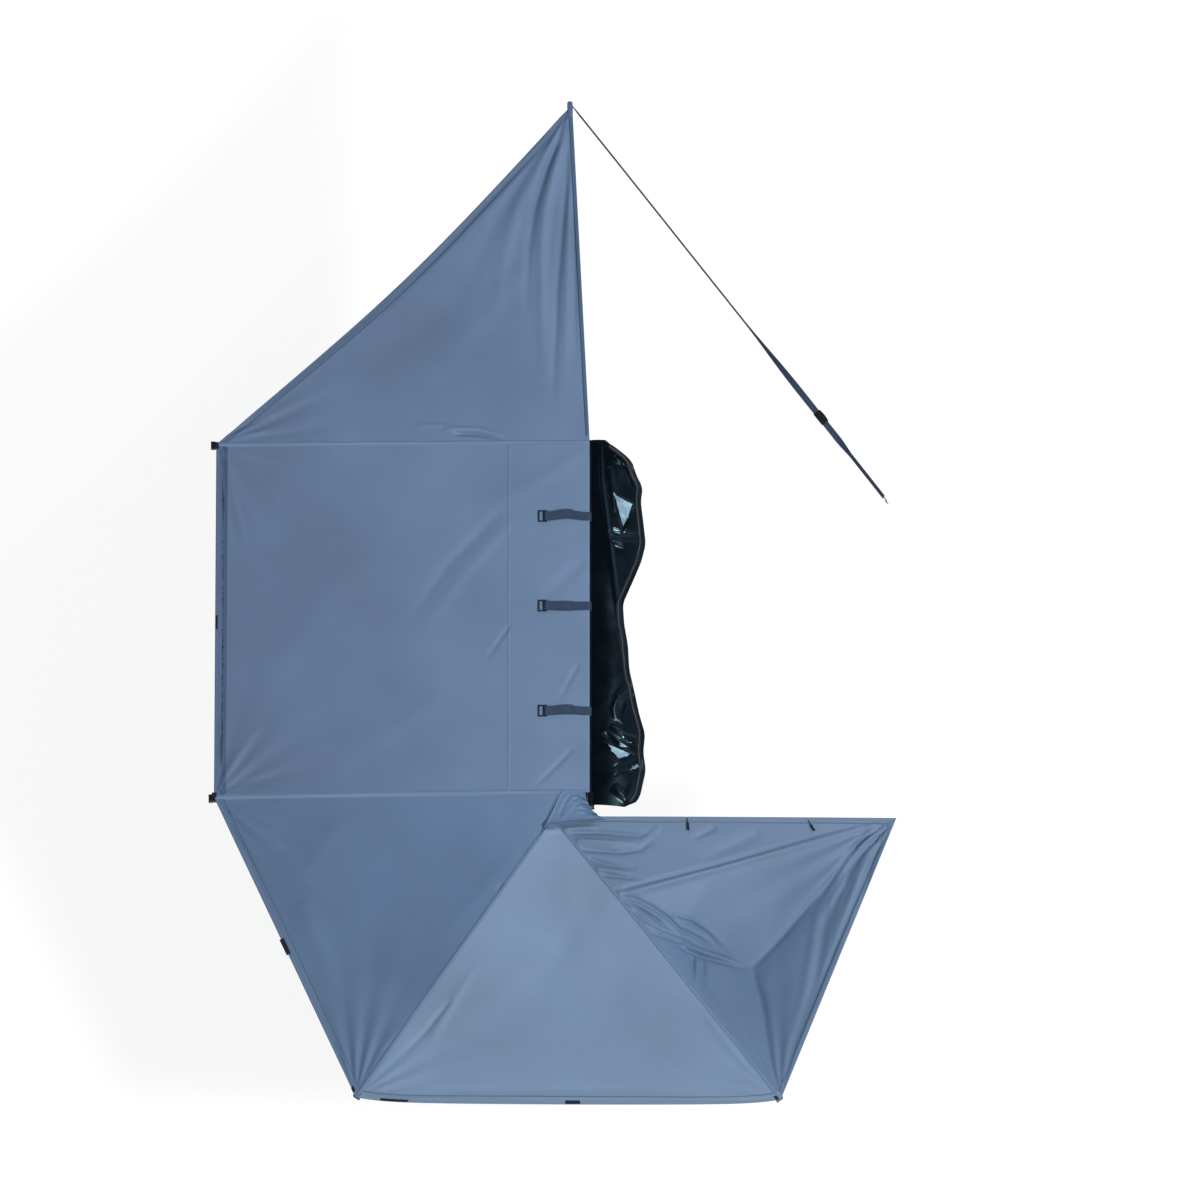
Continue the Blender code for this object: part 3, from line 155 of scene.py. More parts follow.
TAIL_FOLDS = (
    (-9, 13, 60, -1542, 653, -1360, 1145, -1205, 1430, -1130),
    (13, 18, 110, -1565, 645, -1392, 1135, -1236, 1410, -1155),
    (-10, 14, 832, -1900, 1000, -1720, 1180, -1510, 1360, -1300, 1450, -1130),
    (-13, 16, -157, -1202, 11, -1196, 227, -1214, 362, -1173),
    (-13, 16, -97, -1297, 119, -1308, 227, -1291, 308, -1227),
    (-13, 14, -54, -1351, 65, -1385, 216, -1403),
    (-11, 14, 22, -1437, 254, -1466),
    (12, 16, -119, -1250, 76, -1256, 216, -1256),
    (11, 14, -43, -1409, 173, -1437),
    (-10, 11, 120, -1566, 198, -1570, 283, -1599, 380, -1653, 440, -1705, 524, -1740, 633, -1798, 742, -1851),
    (8, 10, 150, -1580, 230, -1605, 320, -1650, 400, -1705),
    (-9, 9, 140, -1588, 235, -1631, 319, -1672, 368, -1713),
    (8, 9, 165, -1612, 260, -1664, 340, -1706, 420, -1730),
    (-9, 10, 190, -1643, 271, -1698, 343, -1728, 440, -1744, 524, -1773),
    (8, 10, 250, -1708, 340, -1748, 440, -1762, 540, -1800),
    (-12, 12, 270, -1765, 368, -1765, 452, -1785, 540, -1815),
    (-14, 13, 420, -1800, 488, -1828, 573, -1857, 681, -1880, 800, -1908),
    (13, 14, 450, -1785, 573, -1830, 681, -1858, 790, -1888),
    (-7, 12, 416, -1650, 501, -1672, 585, -1720, 633, -1772, 720, -1830),
    (6, 13, 400, -1635, 520, -1655, 610, -1715, 680, -1775),
    (-11, 14, 508, -1858, 508, -2052),
    (-10, 14, 567, -1858, 562, -2081),
    (10, 14, 535, -1858, 535, -2069),
    (-7, 18, 832, -1925, 886, -2107, 913, -2280, 940, -2454),
    (7, 22, 1188, -1602, 1118, -2035, 1010, -2475),
    (-7, 20, 1245, -1573, 1170, -2035, 1037, -2440),
    (-6, 18, 1523, -1154, 1426, -1559, 1323, -1848),
    (-6, 18, 1447, -1120, 1334, -1443, 1172, -1790),
    (6, 18, 1490, -1143, 1377, -1501, 1247, -1819),
    (-10, 9, 1560, -1118, 1400, -1230, 1290, -1370, 1190, -1530, 1130, -1640),
    (9, 9, 1565, -1128, 1425, -1240, 1318, -1380, 1220, -1540),
    (-9, 9, 1572, -1138, 1455, -1250, 1360, -1400, 1280, -1560, 1240, -1760),
    (9, 10, 1578, -1146, 1490, -1260, 1405, -1420, 1330, -1620),
    (-12, 10, 1568, -1160, 1480, -1330, 1380, -1580, 1260, -1880, 1140, -2190, 1030, -2460),
    (-6, 16, 637, -1162, 497, -1231),
    (6, 16, 335, -1173, 227, -1231),
    (-6, 30, 875, -1185, 551, -1347),
    (10, 14, -200, -1192, -120, -1184, -10, -1176),
)
HUB_FOLDS = ((-5, 10, -150, -1000, -190, -1070, -215, -1150),)
COVER_FOLDS = (
    (12, 14, 10, 1040, 20, 800, 60, 480, 95, 200, 130, -50, 170, -280),
    (-12, 14, 60, 530, 120, 522, 200, 535, 240, 540),
    (9, 18, 70, 480, 140, 465, 235, 490),
    (12, 14, 190, -330, 110, -420, 85, -500, 100, -560),
    (-10, 14, 200, -400, 140, -450, 115, -540),
    (-12, 12, 35, -640, 110, -705, 210, -720),
    (10, 14, 70, -600, 140, -645, 235, -650),
    (-12, 14, 95, -850, 170, -800, 245, -770),
    (10, 20, 80, -950, 150, -1000, 205, -900),
    (10, 12, 80, 960, 150, 930, 200, 850),
    (-10, 10, 100, 980, 160, 900, 180, 800),
    (8, 10, 140, 960, 190, 900, 225, 840),
    (10, 20, 60, 900, 80, 780, 110, 640),
)
# Flat facets between the cover's creases: x, y of three corners in mm. All of them slope alike.
COVER_FACETS = (
    (78, 752, 200, 706, 135, 535), (30, -690, 195, -745, 110, -790), (112, -870, 240, -815, 235, -765),
    (128, -672, 160, -690, 222, -668), (95, -562, 120, -560, 140, -588), (165, 955, 185, 935, 170, 915),
    (190, 915, 212, 890, 196, 870),
)
FACET_SLOPES = (-0.30, 0.12)

# The slack tail flap's folded form: points in plan with their heights in mm, and the facets between
TAIL_POINTS = np.array([
    (-130, -1114, 100), (100, -1545, 86), (653, -1362, 36), (1145, -1200, 24), (1609, -1096, 30),
    (750, -1104, 66), (832, -1900, -130), (975, -2690, -14), (430, -1735, -60),
]) / 1000
TAIL_FACETS = (
    (0, 1, 2), (0, 2, 5), (5, 2, 3), (5, 3, 4), (2, 6, 3), (3, 6, 4), (4, 6, 7), (1, 8, 2), (8, 6, 2),
    (1, 7, 8), (8, 7, 6),
)

# The cover's free edge in plan, from its rear end: Y and X in mm
COVER_EDGE = np.array([
    (-1060, 110), (-1040, 190), (-982, 227), (-820, 259), (-720, 245), (-612, 255), (-500, 222),
    (-392, 200), (-260, 170), (-115, 162), (0, 142), (117, 135), (284, 200), (380, 235), (487, 259),
    (600, 247), (724, 232), (811, 243), (880, 205), (955, 184), (1035, 70), (1060, 20),
]) / 1000
# Where it would reach inboard with no waist, and the Y of its two ends
COVER_WIDE, COVER_END = 0.262, 1.056

# The panels, from the front round to the rear, and what each is made of
PANELS = ("front", "side", "rear_left", "rear", "tail")
BLUE, PALE = "slate_blue_ripstop", "pale_slate_ripstop"
WEBBING, MOULDING = "black_webbing", "black_nylon_moulding"
# The rear-left finishes carry painted shade, and the rear finishes painted sheen
PANEL_FINISH = dict(zip(PANELS, ("canvas", "canvas", "canvas_painted_shade", "canvas_painted_sheen", "canvas_tail")))
HEM_FINISH = dict(zip(PANELS, ("hem", "hem", "hem_shaded", "hem_pale", "hem_tail")))
# Each panel's piece, area, longest and widest run, and then its trims, as they are made
SHEETS = {}


def shade(colour, share=1.0):
    """A colour made darker or lighter by a share, in sRGB. It is given as values or a hex string."""
    if isinstance(colour, str):
        colour = [int(colour[i : i + 2], 16) / 255 for i in (1, 3, 5)]
    return tuple(min(1.0, c * share) for c in colour)


def linear(colour):
    """sRGB values or a hex string as linear RGBA."""
    rgb = [c / 12.92 if c <= 0.04045 else ((c + 0.055) / 1.055) ** 2.4 for c in shade(colour)]
    return (*rgb, 1.0)


class AwningSizes(bpy.types.PropertyGroup):
    """Sizes of the cloth goods."""

    cloth: FloatProperty(name="Cloth", description="Thickness of the canopy cloth", default=0.0011, unit="LENGTH")
    hem: FloatProperty(name="Hem", description="Width of the turned hem", default=0.050, unit="LENGTH")
    seam: FloatProperty(name="Seam", description="Width of the band over an arm", default=0.032, unit="LENGTH")
    fold: FloatProperty(
        name="Folds", description="Depth of the folds against the measured ones", default=1.5, min=0.0, max=3.0,
        subtype="FACTOR",
    )
    billow: FloatProperty(
        name="Billow", description="Height of the cloth's slow waves", default=0.0045, unit="LENGTH"
    )
    sag: FloatProperty(name="Sag", description="Sag in the middle of a panel", default=0.012, unit="LENGTH")
    front_bow: FloatProperty(
        name="Front hem bow", description="How far the front hem is drawn in", default=0.062, unit="LENGTH"
    )
    rear_bow: FloatProperty(
        name="Rear hem bow", description="How far the rear hem stands out", default=0.036, unit="LENGTH"
    )
    webbing: FloatProperty(name="Webbing", description="Width of the closing straps", default=0.050, unit="LENGTH")
    tension: FloatProperty(
        name="Tension strap", description="Width of the tension strap", default=0.035, unit="LENGTH"
    )
    steps: IntProperty(name="Steps", description="Grid steps across a panel", default=190, min=40, max=260)


# What the colour properties share
TINT = {"size": 3, "subtype": "COLOR_GAMMA", "min": 0, "max": 1}


class AwningColours(bpy.types.PropertyGroup):
    """Colours as sRGB values."""

    canvas: FloatVectorProperty(
        name="Canvas", description="Front and side cloth", default=shade("#607796"), **TINT
    )
    # The rear-left canvas is the canvas made darker: painted shade on that panel, its hem, seam, hub flap and corner
    # pocket
    shaded: FloatVectorProperty(
        name="Rear-left canvas", description="Cloth between the second and third arm",
        default=shade("#567090"), **TINT
    )
    # The rear canvas is lighter than the canvas: painted sheen on the rear panel, its hem and the fourth corner
    # pocket
    pale: FloatVectorProperty(
        name="Rear canvas", description="Cloth of the rear panel", default=shade("#6f87a3"), **TINT
    )
    tail: FloatVectorProperty(
        name="Tail canvas", description="Cloth of the slack tail flap", default=shade("#617a98"), **TINT
    )
    # The webbing's blue tint is painted reflection of the sky on black webbing
    webbing: FloatVectorProperty(
        name="Webbing", description="Tabs and the zip's tape", default=shade("#18202c"), **TINT
    )
    cover: FloatVectorProperty(
        name="Cover", description="Coated cover fabric", default=shade("#030508"), **TINT
    )


# ---------------------------------------------------------------- shapes


def mixed(a, b, t):
    """a and b mixed by a share t of b."""
    return a + (b - a) * t


def eased(t):
    """A share from 0 to 1 that starts and ends softly: 3 t^2 - 2 t^3."""
    return t * t * (3 - 2 * t)


def unit(vectors):
    """Vectors made 1 long."""
    return vectors / np.linalg.norm(vectors, axis=-1, keepdims=True)


def run_along(points):
    """The run from the first point of a line to each of its points."""
    return np.concatenate([[0], np.cumsum(np.linalg.norm(np.diff(points, axis=0), axis=1))])


def heading(bearing):
    """The level direction of a bearing, counted from +X towards +Y."""
    t = np.radians(bearing)
    return np.stack([np.cos(t), np.sin(t)], -1)


def right_of(bearing):
    """The level direction to the right of a bearing."""
    t = math.radians(bearing)
    return np.array([math.sin(t), -math.cos(t)])


def arm_end(number, pivot):
    """Where the cloth's corner sits in plan on an arm, short of the arm's cap."""
    return pivot + heading(BEARINGS[number]) * (REACHES[number] - CAP_SHOWS[number])


def line(a, b):
    """The straight line from a to b, as a function of v."""
    return lambda v: a + (b - a) * v[..., None]


def ring(first, last):
    """The small arc round the hub's pin between two bearings, as a function of v."""
    return lambda v: HUB_PIVOT + heading(mixed(first, last, v)) * GATHER_HOLE


def between(inner, outer, z_in, z_out, level, bow=0.0, sag=0.0, crown=2):
    """A surface between an inner edge and a hem.

    The plan goes straight from inner(v) to outer(v), whose middle is drawn in by bow times an arch
    1 - |2v - 1|^crown. The height goes from z_in to z_out by ((u - level)/(1 - level))^power, less
    a sag that is nil at all four edges.
    """

    def surface(u, v):
        near, far = inner(v), outer(v)
        far = far - unit(far - near) * (bow * (1 - np.abs(2 * v - 1) ** crown))[..., None]
        plan = near + (far - near) * u[..., None]
        share = np.clip((u - level) / (1 - level), 0, None) ** DROP_POWER
        low, high = mixed(*z_out, v), mixed(*z_in, v)
        z = mixed(high, low, share) - sag * 4 * v * (1 - v) * np.sin(np.pi * np.clip(u, 0, 1))
        return np.concatenate([plan, z[..., None]], -1)

    return surface


def relief(x, y, folds):
    """Height of the folds at x, y.

    Each fold is a bell of its half width across its line. Along the line it swells at once and
    dies away slowly, as 2.2 p^0.4 (1 - p)^0.9.
    """
    total = np.zeros_like(x)
    for height, width, *points in folds:
        points = np.array(points).reshape(-1, 2) / 1000
        runs = np.linalg.norm(np.diff(points, axis=0), axis=1)
        starts = np.concatenate([[0], np.cumsum(runs)])
        nearest, place = np.full(x.shape, 9.0), np.zeros_like(x)
        for (ax, ay), (bx, by), run, start in zip(points, points[1:], runs, starts):
            t = ((x - ax) * (bx - ax) + (y - ay) * (by - ay)) / run**2
            t = np.clip(t, -0.1, 1.1) if len(runs) == 1 else np.clip(t, 0, 1)
            gap = np.hypot(x - ax - t * (bx - ax), y - ay - t * (by - ay))
            closer = gap < nearest
            nearest = np.where(closer, gap, nearest)
            place = np.where(closer, (start + t * run) / starts[-1], place)
        place = np.clip(place, 0, 1)
        swell = 2.2 * place**0.4 * (1 - place) ** 0.9
        total += height / 1000 * swell * np.exp(-((nearest / (width / 1000)) ** 2))
    return total


def fan(x, y, corner, first, last, count, height, reach):
    """Ripples that spread from a corner between two bearings and die away with distance."""
    dx, dy = x - corner[0], y - corner[1]
    away = np.hypot(dx, dy)
    turn = np.degrees(np.arctan2(dy, dx)) % 360
    share = np.clip((turn - first) / (last - first), 0, 1)
    wave = np.sin(np.pi * count * share) * np.sin(np.pi * share) ** 0.5
    return height * wave * np.clip(away / 0.25, 0, 1) * np.exp(-away / reach)


def billow(x, y, seed):
    """The slow waves of stretched cloth: five crossing sine waves of 0.4 to 1.1 m."""
    rng = np.random.default_rng(seed)
    total = np.zeros_like(x)
    for _ in range(5):
        turn, phase, length = rng.uniform(0, np.pi), rng.uniform(0, 6.28), rng.uniform(0.4, 1.1)
        run = x * math.cos(turn) + y * math.sin(turn)
        total += np.sin(2 * np.pi * run / length + phase) * length
    return total / 3


def dressed(surface, folds, sizes, seed, fans=(), quiet=0.03):
    """The surface with its folds, fans and billow, which are nil along the seams and the rail."""

    def moved(u, v):
        place = surface(u, v)
        x, y = place[..., 0], place[..., 1]
        edge = eased(np.clip(np.minimum(v, 1 - v) / quiet, 0, 1) * np.clip(u / quiet, 0, 1))
        soft = np.sin(np.pi * np.clip(u, 0, 1)) ** 0.5 * np.sin(np.pi * np.clip(v, 0, 1)) ** 0.5
        rise = sizes.fold * relief(x, y, folds) * edge + sizes.billow * billow(x, y, seed) * soft
        for values in fans:
            rise = rise + sizes.fold * fan(x, y, *values) * edge
        place[..., 2] += rise
        return place

    return moved


def blurred(z, times):
    """z smoothed over its neighbours, a number of times, with its edges held."""
    for _ in range(times):
        wide = np.pad(z, 1, mode="edge")
        z = (wide[:-2, 1:-1] + wide[2:, 1:-1] + wide[1:-1, :-2] + wide[1:-1, 2:] + 4 * z) / 8
    return z


def faceted(x, y):
    """The tail flap's height over x, y: flat facets between the points, by their shares of area."""
    z = np.full(x.shape, np.nan)
    best = np.full(x.shape, -9.0)
    for a, b, c in TAIL_FACETS:
        (ax, ay, az), (bx, by, bz), (cx, cy, cz) = TAIL_POINTS[[a, b, c]]
        area = (bx - ax) * (cy - ay) - (cx - ax) * (by - ay)
        at_b = ((x - ax) * (cy - ay) - (cx - ax) * (y - ay)) / area
        at_c = ((bx - ax) * (y - ay) - (x - ax) * (by - ay)) / area
        at_a = 1 - at_b - at_c
        inside = np.minimum(np.minimum(at_a, at_b), at_c)
        closer = inside > best
        z = np.where(closer, at_a * az + at_b * bz + at_c * cz, z)
        best = np.where(closer, inside, best)
    return z


def tail_surface(flat, steps):
    """The slack flap: its facets, softened, with its edges brought to the seam and the hems.

    The height is kept on a fine grid of u and v and read from it by bilinear interpolation.
    """
    u, v = np.meshgrid(np.linspace(0, 1, steps + 1), np.linspace(0, 1, steps + 1), indexing="ij")
    rim = flat(u, v)
    z = blurred(faceted(rim[..., 0], rim[..., 1]), 5)
    # What the facets are off at the four edges is given back: in the outer sixteenth as the blend of
    # all four edges, and further in it dies away over a fifth of the panel
    off = rim[..., 2] - z
    along_v = mixed(off[:, :1], off[:, -1:], v)
    along_u = mixed(off[:1, :], off[-1:, :], u)
    corners = mixed(mixed(off[0, 0], off[-1, 0], u), mixed(off[0, -1], off[-1, -1], u), v)
    near_v = np.clip(1 - 5 * v, 0, 1) * off[:, :1] + np.clip(5 * v - 4, 0, 1) * off[:, -1:]
    near_u = np.clip(1 - 5 * u, 0, 1) * off[:1, :] + np.clip(5 * u - 4, 0, 1) * off[-1:, :]
    share = np.maximum(np.abs(2 * v - 1), np.abs(2 * u - 1))
    z = z + mixed(near_v + near_u, along_v + along_u - corners, np.clip(8 * share - 7, 0, 1))

    def surface(u, v):
        place = flat(u, v)
        a, b = np.clip(u, 0, 1) * steps, np.clip(v, 0, 1) * steps
        i, j = np.minimum(a.astype(int), steps - 1), np.minimum(b.astype(int), steps - 1)
        a, b = a - i, b - j
        place[..., 2] = (
            z[i, j] * (1 - a) * (1 - b) + z[i + 1, j] * a * (1 - b)
            + z[i, j + 1] * (1 - a) * b + z[i + 1, j + 1] * a * b
        )
        return place

    return surface


def canopy_panels():
    """The five panels' surfaces by name."""
    sizes = bpy.context.scene.awning_sizes
    edge = np.array([KEDER_X, FRONT_PIVOT[1]])
    side_end = np.array([KEDER_X, SIDE_PIVOT[1]])
    tip = [arm_end(n, p) for n, p in enumerate((FRONT_PIVOT, FRONT_PIVOT, SIDE_PIVOT, HUB_PIVOT, HUB_PIVOT))]
    top = [z + CLOTH_LIFT for z in ARM_TOPS]
    level = (FLAT_SHARE * (KEDER_X - tip[2][0]) - (KEDER_X - HUB_PIVOT[0])) / (HUB_PIVOT[0] - tip[2][0])
    # Panels stop short of a seam by half a gap, and the front one flares a little at its root
    gap, flare = np.array([0, SEAM_GAP]), np.array([0, 0.014])
    turn = math.degrees(SEAM_GAP / GATHER_HOLE)
    tube = np.array([TUBE_WIDTH / 2, 0])
    roll_root = np.array([-0.165, SIDE_PIVOT[1] - SEAM_GAP])
    front = between(
        line(edge + gap + flare, edge + gap), line(tip[0] + tube, tip[1] + gap),
        (CLOTH_TOP, CLOTH_TOP), (top[0], top[1]), FLAT_SHARE, sizes.front_bow, sizes.sag,
    )
    side = between(
        line(edge - gap, side_end + gap), line(tip[1] - gap, tip[2] + gap),
        (CLOTH_TOP, CLOTH_TOP), (top[1], top[2]), FLAT_SHARE, 0.0, sizes.sag,
    )
    rear_left = between(
        line(roll_root, HUB_PIVOT + heading(BEARINGS[3] - turn) * GATHER_HOLE), line(tip[2] - gap, tip[3]),
        (CLOTH_TOP, HUB_CLOTH_TOP), (top[2], top[3]), level, 0.0, sizes.sag,
    )
    rear = between(
        ring(BEARINGS[3] + turn, BEARINGS[4] - turn), line(tip[3], tip[4]),
        (HUB_CLOTH_TOP, HUB_CLOTH_TOP), (top[3], top[4]), level, -sizes.rear_bow, sizes.sag, 8,
    )
    tail_flat = between(
        ring(BEARINGS[4] + turn, 360 - 2 * turn), line(tip[4], TAIL_CORNER),
        (HUB_CLOTH_TOP, HUB_CLOTH_TOP), (top[4], TAIL_CORNER_Z), level,
    )
    # Each panel's folds, the seed of its billow, and the fans of ripples from its corners
    return {
        "front": dressed(front, FRONT_FOLDS, sizes, 3, (
            (tip[1], 0, 45, 7, 0.006, 0.35), (tip[0], 220, 272, 9, 0.006, 0.50),
        )),
        "side": dressed(side, SIDE_FOLDS, sizes, 5, (
            (tip[1], 270, 360, 9, 0.006, 0.28), (tip[2], 0, 90, 9, 0.006, 0.28),
        )),
        "rear_left": dressed(rear_left, REAR_LEFT_FOLDS, sizes, 8, (
            (tip[2], 296, 358, 7, 0.007, 0.28), (tip[3], 57, 116, 8, 0.009, 0.34),
        )),
        "rear": dressed(rear, REAR_FOLDS, sizes, 11, (
            (tip[3], 2, 55, 7, 0.006, 0.28), (tip[4], 130, 178, 7, 0.006, 0.28),
        )),
        "tail": dressed(tail_surface(tail_flat, sizes.steps), TAIL_FOLDS, sizes, 14, (
            (TAIL_CORNER, 182, 246, 11, 0.007, 0.45), (tip[4], 68, 126, 9, 0.008, 0.40),
        ), 0.015),
    }


def packs():
    """How each panel packs away when the arms are folded.

    It gives the body that the panel rides, the axis that it flattens along, a point in its lane
    beside the arm, and the share of its width that is left. The side panel's axis leans by 0.0345
    rad, so that its hem is lifted on to the arms.
    """
    hub = np.array([*HUB_PIVOT, 0.0])
    right = np.array([*right_of(BEARINGS[4]), 0.0])
    return {
        "front": ("arm_1", (0, 1, 0), (0, 1.070, 0), 0.040),
        "side": ("mount", (math.cos(0.0345), 0, math.sin(0.0345)), (KEDER_X, 0, CLOTH_TOP), 0.022),
        "rear_left": ("arm_2", (0, 1, 0), (0, -1.006, 0), 0.020),
        "rear": ("arm_4", tuple(right), tuple(hub - 0.086 * right), 0.034),
        "tail": ("arm_4", tuple(right), tuple(hub - 0.088 * right), 0.035),
    }


# ---------------------------------------------------------------- meshes


def new_piece(name, points, faces, material, uv, smooth=True):
    """An object from points and faces, with its UV for each point and its finish."""
    mesh = bpy.data.meshes.new(name)
    mesh.from_pydata(points, [], faces)
    layer = mesh.uv_layers.new(name="UVMap")
    corners = np.empty(len(mesh.loops), np.int32)
    mesh.loops.foreach_get("vertex_index", corners)
    layer.data.foreach_set("uv", uv[corners].astype(np.float32).ravel())
    mesh.shade_smooth() if smooth else mesh.shade_flat()
    mesh.materials.append(finish(material))
    piece = bpy.data.objects.new(name, mesh)
    bpy.context.scene.collection.objects.link(piece)
    return piece


def grid_faces(rows, columns, closed=False):
    """The numbers of a grid's points, and its quads, also across the seam where it is closed."""
    index = np.arange(rows * columns).reshape(rows, columns)
    wide = np.hstack([index, index[:, :1]]) if closed else index
    quads = np.stack([wide[:-1, :-1], wide[1:, :-1], wide[1:, 1:], wide[:-1, 1:]], -1)
    return index, quads.reshape(-1, 4)


def band_uv(run, share):
    """A band's UV: the run along it, and the share or run across it."""
    return np.stack(np.broadcast_arrays(run[None, :], share[:, None]), -1)


def woven(name, points, material, uv, wall, closed=False):
    """A sheet through a grid of points, rows by columns, given its thickness below.

    Faces are turned so that the sheet looks up, or outwards where its columns close on themselves.
    """
    _, quads = grid_faces(*points.shape[:2], closed)
    flat = points.reshape(-1, 3)
    a, b, c, d = (flat[quads[:, k]] for k in range(4))
    normal = np.cross(c - a, d - b)
    outwards = np.sum(normal * ((a + b + c + d) / 4 - flat.mean(0))) if closed else normal[:, 2].sum()
    if outwards < 0:
        quads = quads[:, ::-1]
    piece = new_piece(name, flat, quads, material, uv.reshape(-1, 2))
    if wall:
        thick = piece.modifiers.new("Thickness", "SOLIDIFY")
        thick.thickness, thick.offset = wall, -1
    return piece


def swept(name, path, across, up, section, material, smooth=False):
    """A solid strip: a closed section in (across, up) carried along a path, with both ends closed.

    UV runs in metres along the path and round the section.
    """
    points = path[:, None] + across[:, None] * section[None, :, :1] + up[:, None] * section[None, :, 1:]
    uv = np.stack(np.broadcast_arrays(run_along(path)[:, None], run_along(section)[None, :]), -1)
    index, quads = grid_faces(len(path), len(section), True)
    faces = quads.tolist() + [index[0].tolist(), index[-1][::-1].tolist()]
    flat = points.reshape(-1, 3)
    # The volume's sign tells whether the faces look outwards
    volume = 0.0
    for corners in (quads[:, [0, 1, 2]], quads[:, [0, 2, 3]]):
        a, b, c = (flat[corners[:, k]] - flat[0] for k in range(3))
        volume += np.sum(a * np.cross(b, c))
    if volume < 0:
        faces = [face[::-1] for face in faces]
    return new_piece(name, flat, faces, material, uv.reshape(-1, 2), smooth)


def flat_section(width, wall, edge=0.3):
    """A strap's section: a flat strip whose two edges are rounded off by a share of its wall."""
    half, bevel = width / 2, wall * edge
    low, high = -wall / 2, wall / 2
    return np.array([
        (-half, low + bevel), (-half + bevel, low), (half - bevel, low), (half, low + bevel),
        (half, high - bevel), (half - bevel, high), (-half + bevel, high), (-half, high - bevel),
    ])


def round_section(radius, sides=12):
    """A round bar's section."""
    t = np.linspace(0, 2 * np.pi, sides, endpoint=False)
    return np.stack([radius * np.cos(t), radius * np.sin(t)], -1)


def frames(path, up=(0, 0, 1)):
    """Sideways and upward directions along a path, kept square to it."""
    way = unit(np.gradient(path, axis=0))
    across = unit(np.cross(np.broadcast_to(up, way.shape), way))
    return across, np.cross(way, across)


def joined(name, pieces):
    """Several pieces made one object."""
    with bpy.context.temp_override(active_object=pieces[0], selected_editable_objects=pieces):
        bpy.ops.object.join()
    pieces[0].name = name
    return pieces[0]


def packed_away(piece, panel):
    """The piece rides the body that its panel rides, with a mesh of its own."""
    body, axis, anchor, keep = packs()[panel]
    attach(piece, body)
    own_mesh(piece)


def lengths(surface, v, count=24):
    """The run from the rail to the hem of a surface at each v."""
    u = np.linspace(0, 1, count)[:, None] + 0 * v[None, :]
    points = surface(u, np.broadcast_to(v, u.shape))
    return np.linalg.norm(np.diff(points, axis=0), axis=-1).sum(0)


def widths(surface, u, count=24):
    """The run across a surface at each u."""
    v = np.linspace(0, 1, count)[:, None] + 0 * u[None, :]
    points = surface(np.broadcast_to(u, v.shape), v)
    return np.linalg.norm(np.diff(points, axis=0), axis=-1).sum(0)


# ---------------------------------------------------------------- finishes


FLAT_NOISE = {"noise_dimensions": "2D"}


def put(material, kind, settings=None, inputs=None, **values):
    """Adds a node: its settings, and its inputs by name or number, each a value or another node's output."""
    tree = material.node_tree
    node = tree.nodes.new("ShaderNode" + kind)
    for key, value in (settings or {}).items():
        setattr(node, key, value)
    named = {key.replace("_", " "): value for key, value in values.items()}
    for key, value in {**(inputs or {}), **named}.items():
        if isinstance(value, bpy.types.NodeSocket):
            tree.links.new(value, node.inputs[key])
        else:
            node.inputs[key].default_value = value
    return node


def bare(name, roughness, metallic=0.0, **values):
    """A material with only its Principled shader, and that shader."""
    material = bpy.data.materials.new(name)
    material.use_nodes = True
    shader = material.node_tree.nodes["Principled BSDF"]
    shader.inputs["Roughness"].default_value = roughness
    shader.inputs["Metallic"].default_value = metallic
    for key, value in values.items():
        shader.inputs[key.replace("_", " ")].default_value = value
    return material, shader


def toned(material, pattern, span, colour, shares):
    """The colour that a pattern gives: two shares of one colour, over a span of its grey values."""
    node = put(material, "ValToRGB", Fac=pattern)
    for stop, place, share in zip(node.color_ramp.elements, span, shares):
        stop.position, stop.color = place, linear(shade(colour, share))
    return node.outputs["Color"]


def wired(material, shader, tone, bump, rough=None):
    """Brings a colour, a bump and, where it varies, a roughness to the shader."""
    ends = {"Base Color": tone, "Normal": bump.outputs[0]}
    if rough:
        ends["Roughness"] = rough.outputs[0]
    for key, source in ends.items():
        material.node_tree.links.new(source, shader.inputs[key])
    return material


def wave_scale(spacing):
    """The Wave Texture's scale that sets its bands a spacing apart, in metres."""
    return math.pi / spacing / 20


